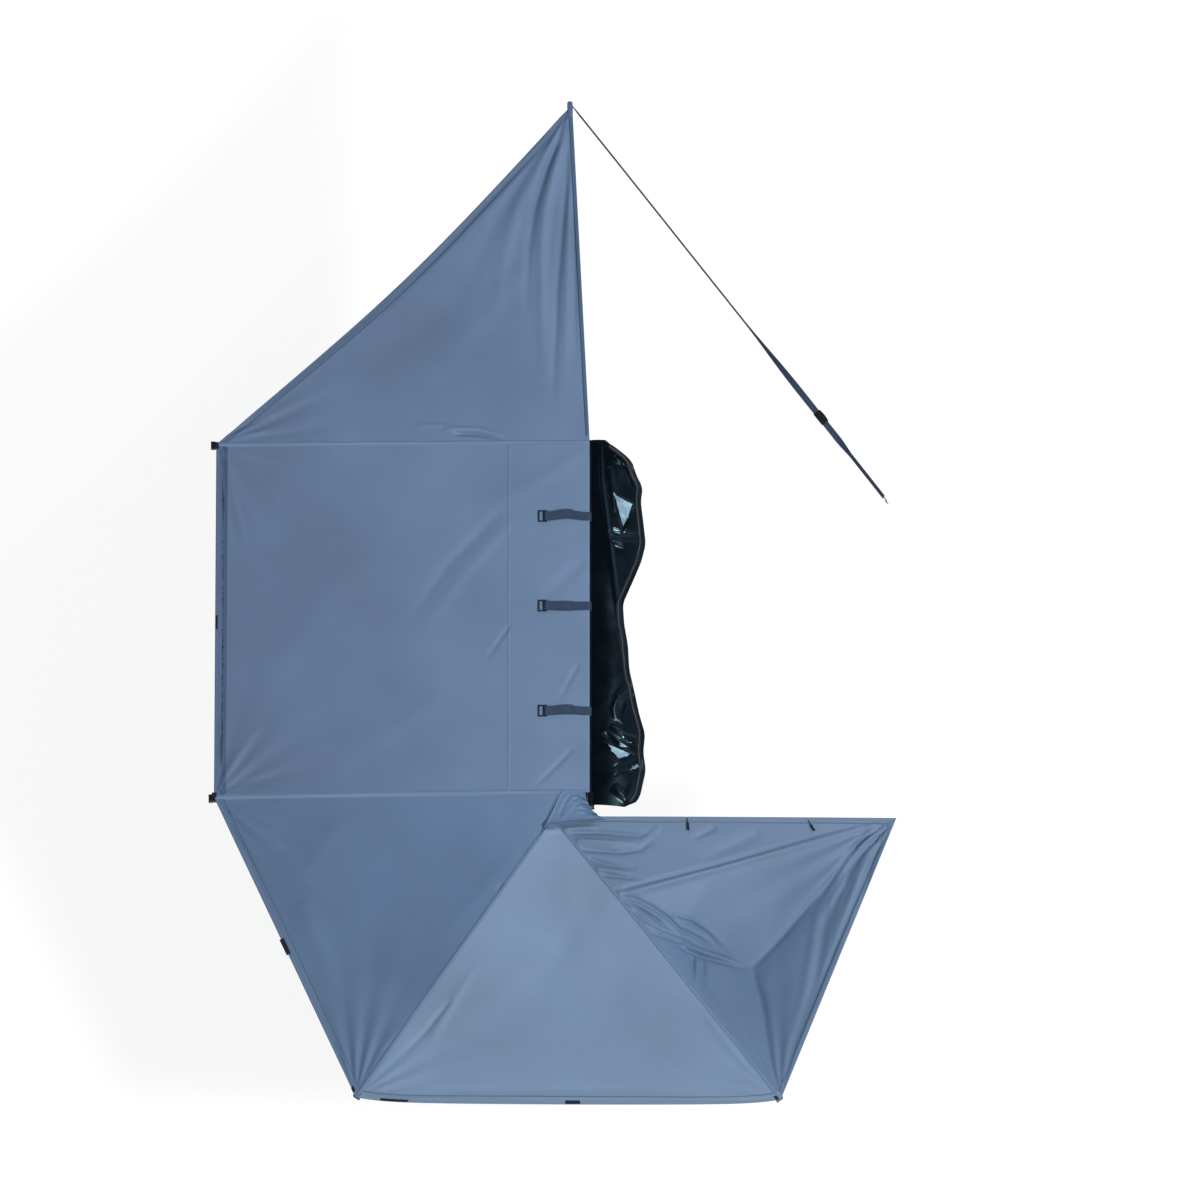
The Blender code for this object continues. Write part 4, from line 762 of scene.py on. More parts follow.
def canvas(name, colour, low, deep):
    """Coated poly-cotton canvas, plain weave: a matt cloth whose dye is a little uneven.

    The threads are 0.5 mm apart, too fine for any view, so they are drawn 3 mm apart. A coarser
    slub along the cloth and slow clouds of a few percent keep large panels from looking flat.
    Below a height the cloth is painted darker, down to its low parts, as painted shade: low gives
    the two heights, and deep the share of each colour that is left at the lower one.
    """
    material, shader = bare(name, 0.62, Sheen_Weight=0.08, Sheen_Roughness=0.5)
    uv = put(material, "UVMap").outputs["UV"]
    clouds = put(material, "TexNoise", FLAT_NOISE, Vector=uv, Scale=1.6, Detail=3.0)
    stretch = put(material, "Mapping", Vector=uv, Scale=(2.0, 60.0, 1.0))
    slub = put(material, "TexNoise", FLAT_NOISE, Vector=stretch.outputs[0], Scale=3.0, Detail=2.0)
    uneven = put(
        material, "Math", {"operation": "MULTIPLY_ADD"}, {0: slub.outputs[0], 1: 0.30, 2: clouds.outputs[0]}
    )
    tone = toned(material, uneven.outputs[0], (0.38, 0.98), colour, (0.955, 1.045))
    # Painted shade: below a height the cloth is darker, down to its low parts
    height = put(material, "SeparateXYZ", inputs={0: put(material, "TexCoord").outputs["Object"]})
    painted_shade_share = put(
        material, "MapRange", Value=height.outputs["Z"], From_Min=low[0], From_Max=low[1], To_Min=1.0, To_Max=0.0
    )
    darker = put(
        material, "Mix", {"data_type": "RGBA", "blend_type": "MULTIPLY"},
        {0: painted_shade_share.outputs[0], 6: tone, 7: (*deep, 1.0)},
    )
    threads = [
        put(material, "TexWave", {"bands_direction": way}, Vector=uv, Scale=wave_scale(0.003), Distortion=0.4)
        for way in "XY"
    ]
    crossings = {number: each.outputs["Fac"] for number, each in enumerate(threads)}
    weave = put(material, "Math", {"operation": "MULTIPLY"}, crossings)
    rough = put(material, "MapRange", Value=slub.outputs[0], To_Min=0.56, To_Max=0.70)
    bump = put(material, "Bump", Height=weave.outputs[0], Strength=0.25, Distance=0.0003)
    return wired(material, shader, darker.outputs[2], bump, rough)


def stitched(name, colour, rows):
    """Turned hem or felled seam of the canvas, with its rows of lock stitch.

    UV's x runs along the band in metres and y across it from 0 to 1. The 3 mm stitches are drawn
    9 mm long, so that the rows read as stitching. The cloth dips into each row, and each row is
    darker along its whole length: the stitches, and painted shade in the dip.
    """
    material, shader = bare(name, 0.66, Sheen_Weight=0.08, Sheen_Roughness=0.5)
    uv = put(material, "UVMap").outputs["UV"]
    split = put(material, "SeparateXYZ", inputs={0: uv})
    clouds = put(material, "TexNoise", FLAT_NOISE, Vector=uv, Scale=2.0, Detail=4.0)
    tone = toned(material, clouds.outputs[0], (0.3, 0.7), colour, (0.95, 1.03))
    pitch = put(material, "Math", {"operation": "MULTIPLY"}, {0: split.outputs["X"], 1: 1 / 0.009})
    dash = put(material, "Math", {"operation": "FRACT"}, {0: pitch.outputs[0]})
    thread = put(material, "Math", {"operation": "LESS_THAN"}, {0: dash.outputs[0], 1: 0.62})
    row_stitches_and_shade = 0.0
    for row in rows:
        near = put(material, "Math", {"operation": "COMPARE"}, {0: split.outputs["Y"], 1: row, 2: 0.030})
        row_stitches_and_shade = put(material, "Math", {"operation": "MAXIMUM"}, {0: row_stitches_and_shade, 1: near.outputs[0]}).outputs[0]
    sewn = put(material, "Math", {"operation": "MULTIPLY"}, {0: row_stitches_and_shade, 1: thread.outputs[0]})
    # Each row is darker along its length: the stitches, and painted shade in the dip
    dark = put(material, "Mix", {"data_type": "RGBA"}, {0: row_stitches_and_shade, 6: tone, 7: linear(shade(colour, 0.80))})
    bump = put(material, "Bump", {"invert": True}, Height=sewn.outputs[0], Strength=0.6, Distance=0.0010)
    return wired(material, shader, dark.outputs[2], bump)


def webbing_finish(name, colour):
    """Polypropylene webbing, herringbone weave: dull, ribbed along its length, paler on its ribs."""
    material, shader = bare(name, 0.66, Specular_IOR_Level=0.2)
    uv = put(material, "UVMap").outputs["UV"]
    slant = put(material, "Mapping", Vector=uv, Rotation=(0.0, 0.0, 0.9))
    rib = put(
        material, "TexWave", {"bands_direction": "X"}, Vector=slant.outputs[0], Scale=wave_scale(0.004),
        Distortion=1.0,
    )
    fuzz = put(material, "TexNoise", FLAT_NOISE, Vector=uv, Scale=140.0, Detail=3.0)
    both = put(material, "Math", {"operation": "MULTIPLY"}, {0: rib.outputs["Fac"], 1: fuzz.outputs[0]})
    tone = toned(material, both.outputs[0], (0.05, 0.55), colour, (0.75, 1.35))
    bump = put(material, "Bump", Height=both.outputs[0], Strength=0.5, Distance=0.0006)
    return wired(material, shader, tone, bump)


def cover_finish(name, colour):
    """PVC-coated cover fabric: black and glossy, with a faint pebbled grain and duller, dusty patches.

    The grain is 1.2 mm and is drawn at 3 mm.
    """
    # The reflections' blue tint is painted reflection of the sky
    material, shader = bare(name, 0.16, Specular_IOR_Level=0.42, Specular_Tint=(0.50, 0.80, 1.0, 1.0))
    place = put(material, "TexCoord").outputs["Object"]
    dust = put(material, "TexNoise", Vector=place, Scale=6.0, Detail=5.0, Roughness=0.6)
    tone = toned(material, dust.outputs[0], (0.48, 0.85), colour, (1.0, 2.2))
    rough = put(material, "MapRange", Value=dust.outputs[0], From_Min=0.35, From_Max=0.75, To_Min=0.13, To_Max=0.30)
    grain = put(material, "TexVoronoi", Vector=place, Scale=1 / 0.003)
    bump = put(material, "Bump", Height=grain.outputs["Distance"], Strength=0.10, Distance=0.0002)
    return wired(material, shader, tone, bump, rough)


def extruded_metal(name, colour, metallic, roughness):
    """Anodised aluminium extrusion: a satin metal with faint die lines along its length."""
    material, shader = bare(name, roughness, metallic)
    place = put(material, "TexCoord").outputs["Object"]
    drawn = put(material, "Mapping", Vector=place, Scale=(160.0, 2.0, 160.0))
    lines = put(material, "TexNoise", Vector=drawn.outputs[0], Scale=2.0, Detail=3.0)
    handled = put(material, "TexNoise", Vector=place, Scale=7.0, Detail=5.0)
    tone = toned(material, handled.outputs[0], (0.35, 0.75), colour, (1.0, 1.25))
    rough = put(material, "MapRange", Value=handled.outputs[0], To_Min=roughness - 0.08, To_Max=roughness + 0.10)
    bump = put(material, "Bump", Height=lines.outputs[0], Strength=0.15, Distance=0.0002)
    return wired(material, shader, tone, bump, rough)


def grained(name, colour, roughness, metallic, grain, depth, spread=1.3):
    """A finish with a fine even grain in Object coordinates.

    It serves powder coat, whose orange peel is 1 to 2 mm, spark-eroded nylon mouldings, zinc
    plating's faint clouds and moulded rubber. Finer grains than 2 mm are drawn at 2 mm.
    """
    material, shader = bare(name, roughness, metallic, Specular_IOR_Level=0.5 if metallic else 0.3)
    place = put(material, "TexCoord").outputs["Object"]
    fine = put(material, "TexNoise", Vector=place, Scale=1 / grain, Detail=2.0)
    rubbed = put(material, "TexNoise", Vector=place, Scale=11.0, Detail=6.0, Roughness=0.65)
    tone = toned(material, rubbed.outputs[0], (0.4, 0.8), colour, (1.0, spread))
    rough = put(material, "MapRange", Value=rubbed.outputs[0], To_Min=roughness - 0.07, To_Max=roughness + 0.09)
    bump = put(material, "Bump", Height=fine.outputs[0], Strength=0.3, Distance=depth)
    return wired(material, shader, tone, bump, rough)


# Each finish: the record's slot, its maker, the material's name, its colour (a hex value, or one of
# the awning's colours and a share of it) and the maker's other values
FINISHES = {
    # The canvas finishes' last two values are the heights and colour shares of their painted shade
    "canvas": (BLUE, canvas, "coated_canvas", ("canvas", 1.05), (0.070, 0.131), (0.76, 0.77, 0.79)),
    "canvas_painted_shade": (
        BLUE, canvas, "coated_canvas_rear_left", ("shaded", 1.06), (0.050, 0.125), (0.79, 0.81, 0.82)
    ),
    "canvas_painted_sheen": (PALE, canvas, "coated_canvas_rear", ("pale", 1.035), (0.030, 0.098), (0.83, 0.86, 0.88)),
    "canvas_tail": (PALE, canvas, "coated_canvas_tail", ("tail", 0.98), (-0.10, 0.05), (0.74, 0.80, 0.86)),
    # The hems are darker than their panels; the front and side hem's darker, bluer colour is painted shade where the
    # cloth turns down at its edge
    "hem": (BLUE, stitched, "canvas_hem", "#4f6787", (0.86, 0.93)),
    "hem_shaded": (BLUE, stitched, "canvas_hem_rear_left", ("shaded", 0.97), (0.86, 0.93)),
    "hem_pale": (PALE, stitched, "canvas_hem_rear", ("pale", 0.96), (0.86, 0.93)),
    "hem_tail": (PALE, stitched, "canvas_hem_tail", ("tail", 0.97), (0.84, 0.92)),
    # A dark band of painted shade inside the side panel's hem
    "facing": (BLUE, stitched, "canvas_hem_facing", "#3d5879", (0.92,)),
    # The seams are lighter than their panels: painted highlight along their raised ridges
    "seam": (BLUE, stitched, "canvas_felled_seam", ("canvas", 1.08), (0.16, 0.84)),
    "seam_painted_shade": (BLUE, stitched, "canvas_felled_seam_third_arm", ("shaded", 1.02), (0.16, 0.84)),
    "seam_tail": (PALE, stitched, "canvas_felled_seam_fourth_arm", ("tail", 1.02), (0.16, 0.84)),
    "webbing": (WEBBING, webbing_finish, "polypropylene_webbing", ("webbing", 1.0)),
    # The straps' black webbing lightened to slate blue: painted sheen of the sky on it
    "worn_webbing": (WEBBING, webbing_finish, "polypropylene_webbing_worn", "#303f55"),
    "cover": ("black_pvc", cover_finish, "pvc_coated_cover", ("cover", 1.0)),
    # The blue in the black anodising is painted reflection of the sky
    "black_anodised": (None, extruded_metal, "black_anodised_aluminium", "#16222e", 0.75, 0.42),
    "anodised": (None, extruded_metal, "clear_anodised_aluminium", "#9a9da1", 1.0, 0.36),
    "zinc": ("zinc_plated_steel", grained, "zinc_plated_steel", "#a9adb0", 0.32, 1.0, 0.004, 0.0001, 1.12),
    # The blue in the black powder coat and the black nylon is painted reflection of the sky
    "powder_coat": (None, grained, "black_powder_coated_steel", "#11161c", 0.48, 0.0, 0.002, 0.0002, 1.3),
    "zip_teeth": (MOULDING, grained, "moulded_zip_coil", "#4d4a47", 0.40, 0.0, 0.003, 0.0002, 1.3),
    "nylon": (MOULDING, grained, "moulded_glass_filled_nylon", "#10151a", 0.55, 0.0, 0.002, 0.00015, 1.3),
    "rubber": ("black_rubber", grained, "moulded_rubber", "#121213", 0.78, 0.0, 0.003, 0.0003, 1.6),
}
MADE = {}


def finish(name):
    """One of the awning's finishes, made the first time that it is asked for."""
    if name not in MADE:
        _, maker, title, colour, *values = FINISHES[name]
        if isinstance(colour, tuple):
            colour = shade(getattr(bpy.context.scene.awning_colours, colour[0]), colour[1])
        MADE[name] = maker(title, colour, *values)
    return MADE[name]


# ---------------------------------------------------------------- cloth pieces


def laid_band(name, points, lift, uv, material, panel, wall=BAND_WALL):
    """A piece of cloth that lies on a panel, raised off it by lift, and packs away with it."""
    points[..., 2] += lift
    piece = woven(name, points, material, uv, wall)
    packed_away(piece, panel)
    return piece


def hem(name, surface, panel, width, free_edge=False):
    """The turned hem along u = 1, or along v = 1 for the tail's free edge.

    Its lift is 1.4 mm with a rolled cord at the outer edge and a rounded step where it is sewn.
    """
    t = np.linspace(0.0, 1.0, BAND_STEPS + 1)
    s = np.array([-0.0008, 0.003, 0.007, 0.012, 0.36 * width, 0.55 * width, 0.75 * width, width - 0.003, width])
    inwards = 1 - s[:, None] / (widths if free_edge else lengths)(surface, t)[None, :]
    t = np.broadcast_to(t, inwards.shape)
    points = surface(t, inwards) if free_edge else surface(inwards, t)
    lift = 0.0014 + 0.0022 * np.exp(-(((s - 0.004) / 0.0045) ** 2))
    lift[-1] = 0.0004
    uv = band_uv(run_along(points[0]), s / width)
    return laid_band(name, points, lift[:, None], uv, HEM_FINISH[panel], panel)


def seam(name, near, far, panel, width, material):
    """The felled seam over an arm: half of it lies on each panel, with a raised ridge in its middle.

    near is the panel that ends there at v = 1, and far the one that begins there at v = 0.
    """
    u = np.linspace(0.0, 0.9985, BAND_STEPS + 1)
    s = width * np.array([-0.5, -0.46, -0.3, -0.15, -0.05, 0.05, 0.15, 0.3, 0.46, 0.5])
    rows = np.broadcast_to(u, (5, len(u)))
    before = near(rows, 1 + s[:5, None] / widths(near, u)[None, :])
    after = far(rows, s[5:, None] / widths(far, u)[None, :])
    points = np.concatenate([before, after])
    lift = 0.0012 + 0.0028 * np.exp(-((s / (0.22 * width)) ** 2))
    lift[[0, -1]] = 0.0003
    uv = band_uv(run_along(points[4]), s / width + 0.5)
    return laid_band(name, points, lift[:, None], uv, material, panel)


def facing(name, surface, panel, start, width):
    """A band of painted shade inside a hem, a little darker than it and dipped between its two edges."""
    t = np.linspace(0, 1, BAND_STEPS + 1)
    share = np.linspace(0, 1, 9)
    u = 1 - (start + width * share)[:, None] / lengths(surface, t)[None, :]
    points = surface(u, np.broadcast_to(t, u.shape))
    lift = 0.0008 + 0.0006 * np.sin(np.pi * share)
    uv = band_uv(run_along(points[0]), share)
    return laid_band(name, points, lift[:, None], uv, "facing", panel, 0.0006)


def build_canopy():
    """Five panels of cloth on fine grids."""
    sizes = bpy.context.scene.awning_sizes
    surfaces = canopy_panels()
    for name, surface in surfaces.items():
        finer = {"front": 1.2, "tail": 1.25}.get(name, 1.0)
        across = int(sizes.steps * finer)
        along = sizes.steps if name == "tail" else int(sizes.steps / finer)
        rows = np.linspace(0, 1, along + 1)
        if name == "tail":
            rows = np.interp(rows, (0, 0.08, 0.66, 1), (0, 0.05, 0.52, 1))
        u, v = np.meshgrid(rows, np.linspace(0, 1, across + 1), indexing="ij")
        points = surface(u, v)
        piece = woven(f"canopy_{name}_cloth", points, PANEL_FINISH[name], points[..., :2].copy(), sizes.cloth)
        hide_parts(f"canopy_{name}")
        packed_away(piece, name)
        a, b, c, d = points[:-1, :-1], points[1:, :-1], points[1:, 1:], points[:-1, 1:]
        area = float(np.linalg.norm(np.cross(c - a, d - b), axis=-1).sum() / 2)
        spots = np.array([0.0, 0.5, 1.0])
        SHEETS[name] = (piece, area, float(lengths(surface, spots).max()), float(widths(surface, spots).max()))


def build_seams():
    """Hems at the free edges, felled seams over the arms, and the join down the side panel."""
    sizes = bpy.context.scene.awning_sizes
    surfaces = canopy_panels()
    front, side = surfaces["front"], surfaces["side"]
    trims = {name: [] for name in PANELS}
    for name in PANELS:
        width = sizes.hem * (0.68 if name == "tail" else 1.0)
        trims[name].append(hem(f"hem_{name}", surfaces[name], name, width))
    # A band of painted shade inside the side panel's hem, where the cloth turns down
    trims["side"].append(facing("facing_side_hem", side, "side", 0.014, 0.048))
    trims["tail"].append(hem("hem_tail_free_edge", surfaces["tail"], "tail", 0.036, free_edge=True))

    # The sleeve over the front arm, inwards from the panel's edge
    u = np.linspace(0.02, 0.999, BAND_STEPS + 1)
    s = np.array([-0.0006, 0.004, 0.010, 0.018, 0.030])
    v = s[:, None] / widths(front, u)[None, :]
    points = front(np.broadcast_to(u, v.shape), v)
    lift = 0.0014 + 0.0018 * np.exp(-(((s - 0.004) / 0.005) ** 2))
    uv = band_uv(run_along(points[0]), s / s[-1])
    trims["front"].append(laid_band("hem_front_arm_sleeve", points, lift[:, None], uv, "hem", "front"))

    for name, near, far, panel, material, share in (
        ("seam_first_arm", "front", "side", "front", "seam", 1.0),
        ("seam_second_arm", "side", "rear_left", "side", "seam", 1.0),
        ("seam_third_arm", "rear_left", "rear", "rear_left", "seam_painted_shade", 0.8),
        ("seam_fourth_arm", "rear", "tail", "tail", "seam_tail", 0.8),
    ):
        trims[panel].append(seam(name, surfaces[near], surfaces[far], panel, sizes.seam * share, material))

    # The join runs the side panel's whole width
    v = np.linspace(0.004, 0.996, 241)
    width = 0.018
    s = width * np.array([-0.5, -0.42, -0.2, 0.0, 0.2, 0.42, 0.5])
    u = (KEDER_X - JOIN_X) / SIDE_RUN + s[:, None] / SIDE_LENGTH + 0 * v[None, :]
    lift = 0.0010 + 0.0008 * np.exp(-((s / 0.006) ** 2))
    lift[[0, -1]] = 0.0003
    points = side(u, np.broadcast_to(v, u.shape))
    uv = band_uv(v * SIDE_LENGTH, s / width + 0.5)
    trims["side"].append(laid_band("join_side_panel", points, lift[:, None], uv, "seam", "side", 0.0008))
    for name, pieces in trims.items():
        SHEETS[name] += (pieces,)


def height_over(surface, x, y):
    """A panel's height over each x, y: that of the nearest point of a fine grid of the panel."""
    u, v = np.meshgrid(np.linspace(0, 0.4, 120), np.linspace(0, 1, 120), indexing="ij")
    points = surface(u, v).reshape(-1, 3)
    nearest = np.argmin((points[:, :1] - x) ** 2 + (points[:, 1:2] - y) ** 2, axis=0)
    return points[nearest, 2]


def build_gather():
    """The side panel's end, folded over the hub: a smooth roll at its left, elastic ruffles at its right.

    u runs down from the rail, and v from the roll to the ruffles. The height goes down to the lower
    edge by u^1.3, with a low crown in the middle and a lip turned up by u^5. The ruffles are waves
    down the right edge, of 34 and 21 mm, that die away over 60 mm from it. The roll is a bell beside
    the left edge, whose foot comes down on the rear-left panel.
    """
    sizes = bpy.context.scene.awning_sizes
    rear_left = canopy_panels()["rear_left"]
    u, v = np.meshgrid(np.linspace(0, 1, 131), np.linspace(0, 1, 241), indexing="ij")
    left = np.stack([mixed(-0.205, -0.297, u), mixed(-0.983, -1.181, u)], -1)
    right = np.stack([-0.066 + 0.110 * u**2.2, mixed(-0.984, -1.150, u)], -1)
    plan = mixed(left, right, v[..., None])
    plan[..., 1] += 0.006 * np.sin(np.pi * v) * u
    x, y = plan[..., 0], plan[..., 1]
    wide = np.linalg.norm(right - left, axis=-1)
    inboard, outboard = wide * (1 - v), wide * v
    down = 0.20 * u
    base = mixed(CLOTH_TOP + 0.0022, mixed(0.1060, 0.1180, v), u**1.3)
    base += 0.010 * np.sin(np.pi * u) * np.sin(np.pi * v) ** 0.5 + 0.030 * u**5
    ruffles = (
        0.0085 * np.sin(2 * np.pi * down / 0.034 + 2.2 * np.sin(28 * inboard)) * np.exp(-((inboard / 0.060) ** 2))
        + 0.0060 * np.sin(2 * np.pi * (down / 0.021 + inboard / 0.055)) * np.exp(-((inboard / 0.045) ** 2))
    )
    gathers = fan(x, y, (-0.060, -0.978), 190, 250, 7, 0.0080, 0.10)
    cross = relief(x, y, HUB_FOLDS)
    roll = 0.0080 * np.exp(-(((outboard - 0.010) / 0.007) ** 2))
    z = base + (ruffles + gathers + cross) * np.clip(u / 0.08, 0, 1) + roll
    foot = height_over(rear_left, left[:, 0, 0], left[:, 0, 1])[:, None] + 0.0014
    z = mixed(foot, z, eased(np.clip(outboard / 0.014, 0, 1)))
    points = np.stack([x, y, z], -1)
    flap = woven("hub_flap_cloth", points, "canvas_painted_shade", points[..., :2].copy(), sizes.cloth)
    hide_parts("canopy_hub_gather")
    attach(flap, "mount")
    lip = points[-9:].copy()
    lip[..., 2] += 0.0012
    uv = band_uv(np.linspace(0, 0.31, 241), np.linspace(1, 0, 9))
    band = woven("hub_flap_hem", lip, "hem_shaded", uv, BAND_WALL)
    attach(band, "mount")
    # A narrow binding covers the roll's raw edge
    edge = points[2:-1, 3].copy()
    edge[:, 2] += 0.0016
    across, up = frames(edge)
    section = flat_section(0.013, 0.0030, 0.45)
    binding = swept("hub_flap_binding", edge, across, up, section, "seam", True)
    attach(binding, "mount")
    # Each piece gets a mesh of its own
    for piece in (flap, band, binding):
        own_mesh(piece)


def cover_line(y):
    """The cover's free edge in X at each y, by straight pieces rounded over 48 mm."""
    wide = [np.interp(y + d, COVER_EDGE[:, 0], COVER_EDGE[:, 1]) for d in (-0.024, -0.008, 0.008, 0.024)]
    return sum(wide) / len(wide)


def with_facets(x, y, z):
    """z with each facet's plane laid in, through z's mean there, within 6 mm of the facet's edges."""
    for values in COVER_FACETS:
        corners = np.array(values).reshape(3, 2) / 1000
        middle = corners.mean(0)
        inside = np.full(x.shape, 9.0)
        turn = np.sign(np.cross(corners[1] - corners[0], corners[2] - corners[0]))
        for a, b in zip(corners, np.roll(corners, -1, axis=0)):
            way = unit(b - a)
            inside = np.minimum(inside, turn * (way[0] * (y - a[1]) - way[1] * (x - a[0])))
        share = np.clip(0.5 + inside / 0.012, 0, 1)
        level = (z * share).sum() / max(share.sum(), 1e-6)
        plane = level + FACET_SLOPES[0] * (x - middle[0]) + FACET_SLOPES[1] * (y - middle[1])
        z = mixed(z, plane, eased(share))
    return z


def build_cover():
    """The opened cover folded back inboard: two layers joined at the free edge, and its zip.

    The upper layer falls from the rail by a power of its distance, arches over that fall, and
    carries the creases and a slow ripple. The lower layer lies a puff below it, with 0.4 of them.
    """
    # The grid's columns go out over the upper layer and back under it
    top_count, along = 60, 520
    y = np.linspace(COVER_END, -COVER_END, along + 1)
    edge_x = cover_line(y)
    root = RAIL_BACK - 0.012
    share = np.concatenate([np.linspace(0, 1, top_count), np.linspace(1, 0, top_count)[1:-1]])
    under = np.concatenate([np.zeros(top_count), np.ones(top_count - 2)])
    s, yy = np.meshgrid(share, y)
    x = mixed(root, edge_x[:, None], s)
    true = (x - root) / (COVER_WIDE - root)
    fall = mixed(0.1243, 0.030, np.clip((true - 0.08) / 0.92, 0, None) ** 1.25)
    z = fall + 0.016 * np.sin(np.pi * np.clip(true, 0, 1))
    ends = np.clip((COVER_END - np.abs(yy)) / 0.05, 0, 1) ** 0.5
    slow = 0.0035 * np.sin(7.0 * yy + 9.0 * x) * np.sin(4.0 * yy - 14.0 * x + 1.0)
    body = (relief(x, yy, COVER_FOLDS) + slow) * np.clip(s / 0.12, 0, 1) * np.clip((1 - s) / 0.06, 0.25, 1)
    top = with_facets(x[:, :top_count], yy[:, :top_count], (z + body)[:, :top_count])
    z = np.concatenate([top, (z + 0.4 * body)[:, top_count:]], 1)
    puff = 0.013 * np.sin(np.pi * np.clip(s, 0, 1)) ** 0.6 * ends + 0.0012
    z = z - under[None, :] * puff
    points = np.stack([x, yy, z], -1)
    uv = np.stack([s * 0.3, yy], -1)
    cover = woven("cover_fabric", points, "cover", uv, 0, closed=True)
    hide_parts("cover_bag")
    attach(cover, "mount")

    # The zip's tape and teeth run 30 mm inside the free edge
    inner = np.searchsorted(np.linspace(0, 1, top_count), 1 - 0.030 / (edge_x - root))
    path = points[np.arange(along + 1), np.clip(inner, 0, top_count - 1)][8:-8].copy()
    for axis in (0, 2):
        path[:, axis] = np.convolve(np.pad(path[:, axis], 4, mode="edge"), np.ones(9) / 9, mode="valid")
    path[:, 2] += 0.0030
    across, up = frames(path)
    tape = swept("cover_zip_tape", path, across, up, flat_section(0.022, 0.0012), "webbing")
    teeth = path + up * 0.0018
    wave = np.sin(np.arange(len(teeth)) * 2.2)[:, None] * across * 0.0006
    coil = swept("cover_zip_teeth", teeth + wave, across, up, round_section(0.0026, 6), "zip_teeth", True)
    zipped = joined("cover_zip_fastener", [tape, coil])
    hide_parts("cover_zip")
    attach(zipped, "mount")


def ladder_buckle(place, y, x, z):
    """A closing strap's buckle: three cross bars and two sides, each an elliptic bar of 7 x 4.2 mm."""
    bars = [((at, -0.033), (at, 0.033)) for at in (0, 0.026, 0.041)]
    bars += [((-0.003, at), (0.044, at)) for at in (-0.0297, 0.0297)]
    section = round_section(1.0) * (0.0035, 0.0021)
    shells = []
    for number, ends in enumerate(bars):
        ends = np.array([(x + dx, y + dy, z) for dx, dy in ends])
        across, up = frames(ends)
        shells.append(swept(f"buckle_bar_{number}", ends, across, up, section, "nylon", True))
    buckle = joined(f"closing_buckle_{place}_frame", shells)
    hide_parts(f"closing_buckle_{place}")
    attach(buckle, "mount")


def build_closing_straps():
    """Three webbing straps that lie over the cloth, each turned back round a bar of its ladder buckle."""
    sizes = bpy.context.scene.awning_sizes
    side = canopy_panels()["side"]
    bar = RAIL_FACE - STRAP_REACH + 0.0095
    for place, y, bend_y in zip(("front", "middle", "rear"), STRAP_YS, STRAP_WANDERS):
        v = (FRONT_PIVOT[1] - y) / (FRONT_PIVOT[1] - SIDE_PIVOT[1])
        t = np.linspace(0, 1, 60)
        x = mixed(RAIL_FACE - 0.004, bar + 0.006, t)
        cloth_z = np.maximum(side((KEDER_X - x) / SIDE_RUN, np.full_like(x, v))[:, 2], 0.1305)
        # Over the cloth it wanders a little to one side, and lies in shallow waves
        wander = bend_y * np.sin(np.pi * t) ** 2
        rise = 0.0016 + 0.0026 * np.abs(np.sin(2.6 * np.pi * t)) * np.sin(np.pi * t)
        over = np.stack([x, y + wander, cloth_z + rise], -1)
        level = cloth_z[-1] + 0.0016
        # Its foot is sewn down on the rail's top and rises over the keder
        foot = np.array([KEDER_X, y, RAIL_TOP]) + np.array([
            (0.0105, 0, 0.0013), (0.0065, 0, 0.0016), (0.0040, 0, 0.0050), (0.0020, 0, 0.0100),
        ])
        bend = np.linspace(-np.pi / 2, -np.pi * 1.5, 12)
        round_bar = bar - 0.0012 + 0.0036 * np.cos(bend), level + 0.0036 * (1 + np.sin(bend))
        loop = np.stack([round_bar[0], np.full(12, y), round_bar[1]], -1)
        # The end that is turned back lies on the strap, and opens towards its tip
        back = over[::-1][:40].copy()
        spread = np.linspace(0, 1, 40)
        back[:, 2] += 0.0020 + 0.0052 * (1 - spread) ** 6 + 0.0030 * np.sin(np.pi * spread) ** 2
        back[:, 1] += 0.006 * spread
        path = np.concatenate([foot, over, loop, back])
        way = unit(np.gradient(path, axis=0))
        across = np.broadcast_to((0.0, 1.0, 0.0), way.shape)
        section = flat_section(sizes.webbing, 0.0016)
        strap = swept(f"closing_strap_{place}_webbing", path, across, np.cross(way, across), section, "worn_webbing")
        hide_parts(f"closing_strap_{place}")
        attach(strap, "mount")
        ladder_buckle(place, y, bar - 0.037, level + 0.003)


def tension_line(t):
    """The strap's middle line: straight in plan, level where it leaves the tip, and sagging a little."""
    place = TENSION_START + (TENSION_END - TENSION_START) * t[:, None]
    place[:, 2] = mixed(TENSION_START[2], TENSION_END[2], t**2) - TENSION_SAG * np.sin(np.pi * t) ** 2
    return place


